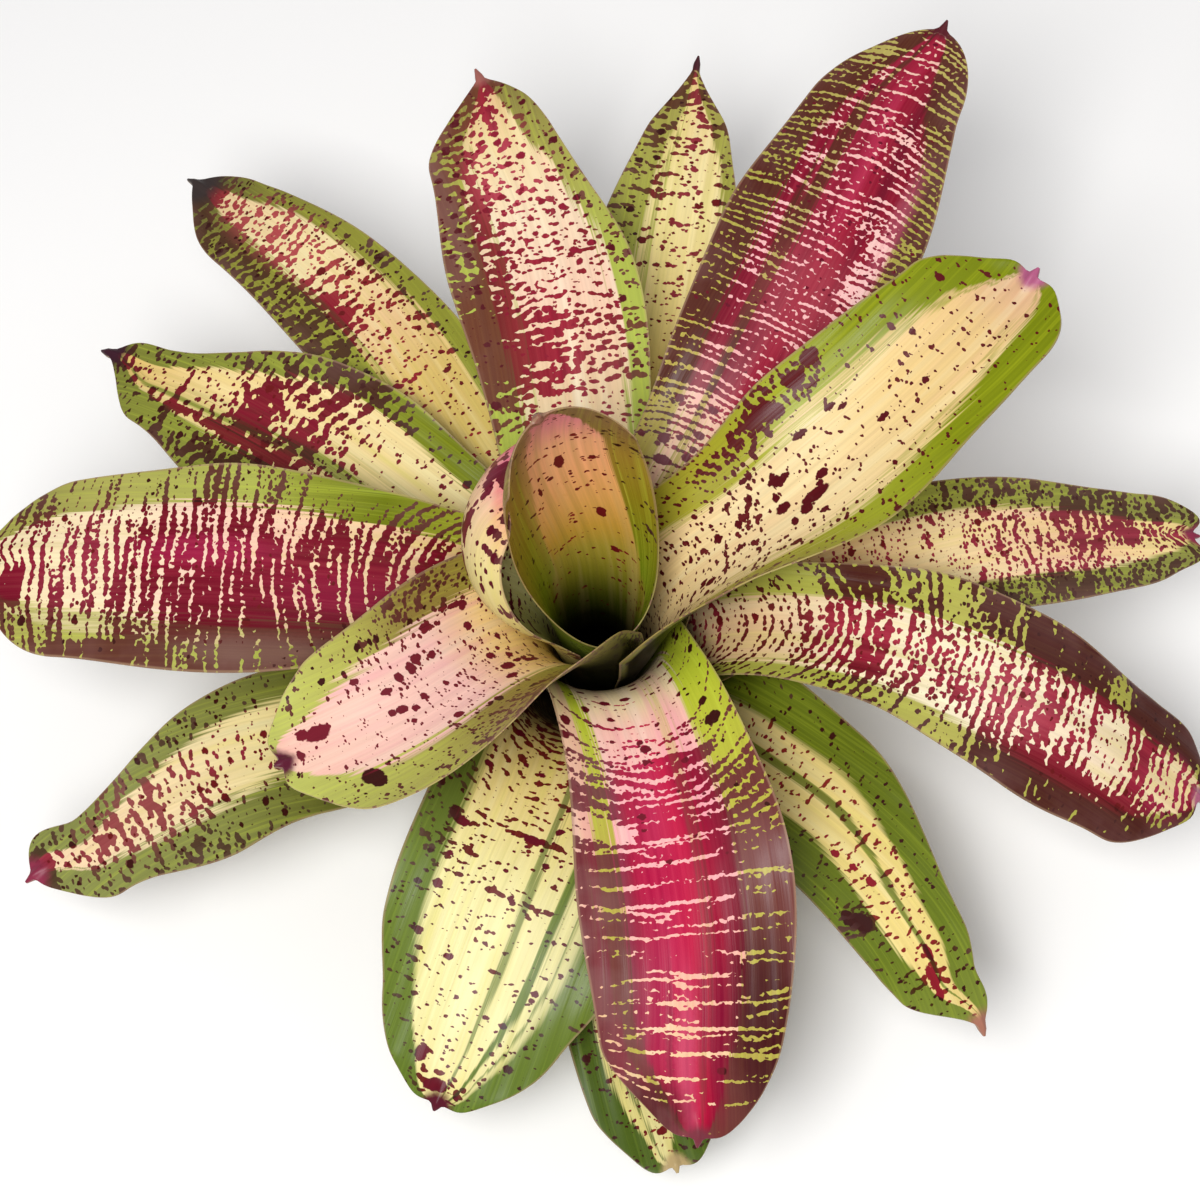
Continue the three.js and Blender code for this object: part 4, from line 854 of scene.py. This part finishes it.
             edges={0.14: 1, 0.19: 0, 0.63: 0, 0.67: 1},
             cream={0: "#c8b458", 0.4: "#d4b864", 0.5: "#e0c070", 0.6: "#ecc690", 0.75: "#f2dca4",
                 0.9: "#f0d09c", 1: "#e0b088"},
             green={0: "#949c34", 0.6: "#949636", 0.85: "#8c8838", 1: "#504c30"},
             levelAlong={0: 0, 0.48: 0.05, 0.54: 0.2, 0.6: 0.42, 0.68: 0.48, 0.74: 0.38, 0.82: 0.5,
                 0.92: 0.5, 1: 0.6},
             levelAcross={0: 0.4, 0.25: 0.7, 0.45: 1, 0.6: 1.15, 0.75: 1.35, 1: 1.5},
             patches=[(0.5, 0.955, 20, 12, 0.5), (0.6, 0.65, 14, 22, 0.35), (0.5, 0.715, 36, 2.4, 0.4),
                 (0.5, 0.77, 36, 2.2, 0.35), (0.45, 0.86, 36, 2.4, 0.35), (0.4, 0.93, 30, 4, 0.3)],
             crimson={0: "#6c2018", 0.4: "#98242c", 0.6: "#8c1c2c", 1: "#481a14"}, deep="#64101c",
             maroon="#503420", tones=[(0.4, 0.8, 30, 70, "#bc5454", 0.8)],
             reach=9, reachLow=12, pitch=3, bead=0.85, beadSize=2.8,
             dots={0: 0.3}, spots={0.6: 0.1, 0.65: 0.3},
             tip="#3c3230", tipReach=13)),
    # the oldest leaves, low and pale
    dict(name="leaf_14", azimuth=(321, 319.3, 313.2), slope=(10, 6, -45), cup=(14, 10, 6), roll=(0, 0, 0),
         length=221, knee=56, width=65, shares=(1.2, 1.21, 1, 0.56, 0.25), belly=0.49, lean=-10,
         tip=dict(reach=40, power=1.1),
         marks=dict(
             edges={0.3: 1, 0.33: 0, 0.53: 0, 0.545: 0.9, 0.575: 0.9, 0.59: 0, 0.71: 0, 0.75: 1},
             pinstripe=0.08, cream={0: "#dcc47c", 0.3: "#e4cc84", 0.75: "#eed684", 1: "#ecd084"},
             green={0: "#5c6a18", 0.3: "#6c7a1c", 0.5: "#626e18", 0.8: "#67761e", 1: "#84903c"},
             lime="#98a62c",
             levelAlong={0.3: 0.2, 0.4: 0.1, 0.7: 0.2, 0.84: 0.25, 1: 0.15},
             levelAcross={0: 0.1, 0.28: 0.6, 0.36: 1, 0.66: 1, 0.76: 0.2, 1: 0.05},
             patches=[(0.16, 0.72, 15, 16, 0.5), (0.55, 0.87, 7, 14, 0.4)],
             maroon="#44280c",
             reach=4, pitch=2.4, beadSize=3,
             dots={0: 0.3}, spots={0: 0.1, 1: 0.05}, spot="#8c1c28",
             blotches=[(0.47, 0.87, 4, 10), (0.55, 0.83, 3, 7), (0.42, 0.9, 3, 5), (0.2, 0.73, 7, 9),
                 (0.13, 0.71, 5, 9), (0.45, 0.68, 3, 5), (0.4, 0.64, 2.5, 4), (0.36, 0.6, 3, 4)],
             # the ramp on the next line is painted shade towards the foot of the sheath
             paintedShade={0: 0.25, 0.15: 0.5, 0.25: 1}, tip="#a8705c", tipReach=7)),
    dict(name="leaf_15", azimuth=(80, 80.8, 80.7), slope=(18, 9, 2), cup=(18, 12, 10), roll=(0, 0, 0),
         length=265, knee=54, width=60, shares=(1.2, 0.78, 1, 0.6, 0.17), belly=0.63, lean=-1.5,
         tip=dict(reach=34, power=1),
         marks=dict(
             edges={0.1: 1, 0.15: 0, 0.6: 0, 0.62: 0.9, 0.65: 0, 0.68: 0.2, 0.72: 1},
             cream={0: "#ccb060", 0.45: "#d0b464", 0.6: "#ecd68c", 0.75: "#f4e2a2", 0.92: "#f0d494",
                 1: "#d8a870"},
             green={0: "#98993a", 0.6: "#a0a642", 1: "#a89c50"},
             levelAlong={0: 0, 0.58: 0.05, 0.68: 0.12, 0.75: 0.24, 0.82: 0.22, 0.88: 0.36, 0.93: 0.6,
                 1: 0.75},
             levelAcross={0: 1.2, 0.3: 0.9, 0.6: 1, 0.8: 1.3, 1: 1.4},
             crimson={0: "#6c2c1c", 0.4: "#94303c", 0.6: "#8c2c30", 1: "#5c2418"}, maroon="#5c3822",
             reach=5, pitch=2.6, bead=0.85, beadSize=3,
             tip="#4a2028")),
    dict(name="leaf_16", azimuth=(203, 199.2, 203.6), slope=(10, 6, -21), cup=(14, 10, 6), roll=(0, 0, 0),
         length=235, knee=52, width=64, shares=(1.2, 0.89, 1, 0.6, 0.46), belly=0.65, lean=10.5,
         tip=dict(reach=24, power=0.6),
         marks=dict(
             edges={0.18: 1, 0.22: 0, 0.63: 0, 0.65: 0.9, 0.68: 0.1, 0.72: 1},
             cream={0: "#c8b470", 0.45: "#ccb874", 0.58: "#eedc9c", 0.7: "#f2daa8", 1: "#f0cca8"},
             green={0: "#646828", 0.5: "#6c702c", 0.7: "#8a8e4a", 1: "#84884a"},
             levelAlong={0: 0, 0.58: 0.05, 0.66: 0.25, 0.72: 0.4, 0.86: 0.45, 0.9: 0.3},
             levelAcross={0: 0.6, 0.25: 1, 0.6: 1.1, 0.8: 0.7, 1: 0.9},
             patches=[(0.5, 0.965, 16, 9, 0.8), (0.42, 0.865, 30, 3.4, 0.45), (0.42, 0.83, 28, 3, 0.45),
                 (0.42, 0.8, 28, 2.6, 0.4), (0.38, 0.765, 26, 3, 0.35), (0.9, 0.7, 14, 30, 0.2)],
             crimson={0: "#5c2c20", 0.35: "#94283a", 0.6: "#842430", 1: "#4c2c1c"}, maroon="#4c3824",
             tones=[(0.4, 0.8, 40, 60, "#9c5450", 0.6)],
             reach=6, pitch=2.8, bead=0.8, beadSize=3,
             tip="#8a3048", tipReach=7)),
    dict(name="leaf_17", azimuth=(278, 276.1, 278.5), slope=(4, -9, -6), cup=(14, 10, 6), roll=(0, 0, 0),
         length=197, knee=50, width=62, shares=(1.2, 1.11, 1, 0.89, 0.5), belly=0.61, lean=2.5,
         tip=dict(reach=26, lobe=2.5, notch=1),
         marks=dict(
             edges={0.18: 1, 0.21: 0, 0.27: 0, 0.29: 0.9, 0.33: 0, 0.5: 0, 0.54: 1}, closeIn=1.4,
             cream={0: "#c8b868", 1: "#d8cc80"}, green={0: "#465618", 1: "#4c601c"}, lime="#7c9030",
             levelAlong={0: 0.1, 0.8: 0.2, 1: 0.3}, levelAcross={0: 0, 0.3: 0.3, 0.45: 0.2, 0.6: 1},
             maroon="#38180c",
             reach=4, pitch=2.2,
             dots={0: 0.4},
             tip="#b8a070")),
]
for rank, leaf in enumerate(leaves):
    makeLeaf(leaf, rank)
    print("made", leaf["name"])

# stem: cut across at the foot, ringed by the scars of old leaves; in mm, the profile as (radius, height)
stem = dict(profile=[(26, 0), (26, 8.3), (26, 10.8), (25, 11.5), (4.6, 46), (1, 49)], sides=96, levels=56,
            ringPitch=2.2, ringDepth=0.03, ribDepth=0.012, ribs=9,
            bark="#8d7a52", oldBark="#6c5a3a", scar="#5c4a30", heart="#c9b98c", oldHeart="#8f7c50")


def stemFibre():
    # old bromeliad stem: dry, fibrous and matt, with dark rings of leaf scars and a paler cut end
    material, tree = newMaterial("fibrous bromeliad stem")
    tones = {name: hexColour(stem[name]) for name in ("bark", "oldBark", "scar", "heart", "oldHeart")}
    coords = addNode(tree, "TexCoord").outputs["Object"]
    place = addNode(tree, "SeparateXYZ", {0: coords})
    fibrePlace = addNode(tree, "VectorMath", {0: coords, 1: (900, 900, 60)}, operation="MULTIPLY")
    fibre = addNode(tree, "TexNoise", {"Vector": fibrePlace, "Scale": 1.0, "Detail": 3.0})
    ringShift = addNode(tree, "Math", {0: fibre, 1: 1.2 * mm, 2: place.outputs[2]}, operation="MULTIPLY_ADD")
    ringTurn = 2 * math.pi / (stem["ringPitch"] * mm)
    ring = addNode(tree, "Math", {0: ringShift, 1: ringTurn}, operation="MULTIPLY")
    ring = addNode(tree, "Math", {0: ring}, operation="SINE")
    scar = addNode(tree, "MapRange", {0: ring, 1: 0.2, 2: 0.9, 3: 0.0, 4: 0.8})
    bark = addNode(tree, "Mix", {0: fibre, 6: tones["bark"], 7: tones["oldBark"]}, data_type="RGBA")
    bark = addNode(tree, "Mix", {0: scar, 6: bark, 7: tones["scar"]}, data_type="RGBA")
    cut = addNode(tree, "MapRange", {0: place.outputs[2], 1: 0.4 * mm, 2: 0.1 * mm, 3: 0.0, 4: 1.0})
    heart = addNode(tree, "Mix", {0: fibre, 6: tones["heart"], 7: tones["oldHeart"]}, data_type="RGBA")
    colour = addNode(tree, "Mix", {0: cut, 6: bark, 7: heart}, data_type="RGBA")
    bump = addNode(tree, "Bump", {"Strength": 0.6, "Distance": 0.8 * mm, "Height": fibre})
    shader = addNode(tree, "BsdfPrincipled", {"Base Color": colour, "Roughness": 0.82, "Normal": bump,
                                              "IOR": 1.45})
    addNode(tree, "OutputMaterial", {0: shader})
    return material


def makeStem():
    # a disc extruded level by level along the profile, then dented into rings and ribs
    bpy.ops.object.select_all(action="DESELECT")
    foot = stem["profile"][0][0] * mm
    bpy.ops.mesh.primitive_circle_add(vertices=stem["sides"], radius=foot, fill_type="NGON")
    piece = bpy.context.object
    piece.name = piece.data.name = "stem_core"
    bpy.ops.object.mode_set(mode="EDIT")
    bpy.ops.mesh.select_all(action="SELECT")
    profile = np.array(stem["profile"], float)
    travel = np.append(0, np.cumsum(np.hypot(*np.diff(profile, axis=0).T)))
    last = profile[0]
    for distance in np.linspace(0, travel[-1], stem["levels"])[1:]:
        ring = np.array([np.interp(distance, travel, column) for column in profile.T])
        bpy.ops.mesh.extrude_region_move(TRANSFORM_OT_translate=dict(value=(0, 0, (ring[1] - last[1]) * mm)))
        grow = ring[0] / last[0]
        bpy.ops.transform.resize(value=(grow, grow, 1), center_override=(0, 0, ring[1] * mm))
        last = ring
    bpy.ops.mesh.select_all(action="SELECT")
    bpy.ops.mesh.normals_make_consistent(inside=False)
    bpy.ops.object.mode_set(mode="OBJECT")
    points = np.empty(len(piece.data.vertices) * 3)
    piece.data.vertices.foreach_get("co", points)
    points = points.reshape(-1, 3)
    turn, height = np.arctan2(points[:, 1], points[:, 0]), points[:, 2]
    rings = stem["ringDepth"] * (0.5 + 0.5 * np.sin(height * 2 * math.pi / (stem["ringPitch"] * mm)))
    ribs = stem["ribDepth"] * (1 + np.sin(turn * stem["ribs"] + height * 300))
    points[:, :2] *= (1 - rings - ribs)[:, None]
    piece.data.vertices.foreach_set("co", points.ravel())
    piece.data.materials.append(stemFibre())
    bpy.ops.object.shade_smooth_by_angle(angle=math.radians(45))
    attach(piece, "root")
    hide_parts("stem")


makeStem()
print("made stem")

# pale floor and soft studio light, in m and W; each light is its name, power, size and place
stage = dict(floor="#fbfaf8", size=4.0, sky="#fbfbff", skyPower=0.34,
             lights=[("key", 19.0, 0.6, (-0.25, -0.62, 1.35)), ("fill", 4.0, 1.2, (0.7, 0.7, 1.2))])
bpy.ops.mesh.primitive_plane_add(size=stage["size"])
floor = bpy.context.object
floor.name = "floor"
# matt white studio card: plain and even, so that nothing shows but soft shadows
floorPaint, floorTree = newMaterial("matt white studio card")
card = addNode(floorTree, "BsdfPrincipled", {"Base Color": hexColour(stage["floor"]), "Roughness": 0.9})
addNode(floorTree, "OutputMaterial", {0: card})
floor.data.materials.append(floorPaint)

world = bpy.data.worlds.new("studio")
bpy.context.scene.world = world
world.use_nodes = True
sky = world.node_tree.nodes["Background"]
sky.inputs["Color"].default_value = hexColour(stage["sky"])
sky.inputs["Strength"].default_value = stage["skyPower"]
for name, power, size, spot in stage["lights"]:
    bpy.ops.object.light_add(type="AREA", location=spot)
    lamp = bpy.context.object
    lamp.name = name
    lamp.data.energy = power
    lamp.data.size = size
    lamp.rotation_euler = (Vector((0, 0, 0.1)) - Vector(spot)).to_track_quat("-Z", "Y").to_euler()

# camera: looks down into the rosette from the front, distances in m
view = dict(elevation=65, distance=1.1, lens=88, target=(0.001, 0.005, 0.105))
tilt = math.radians(view["elevation"])
target = Vector(view["target"])
eye = target + view["distance"] * Vector((0, -math.cos(tilt), math.sin(tilt)))
bpy.ops.object.camera_add(location=eye, rotation=(target - eye).to_track_quat("-Z", "Y").to_euler())
camera = bpy.context.object
camera.name = "camera"
camera.data.lens = view["lens"]
camera.data.sensor_width = 36
camera.data.clip_start = 0.05
bpy.context.scene.camera = camera
bpy.context.scene.view_settings.view_transform = "Standard"
print("stage, lights and camera set")
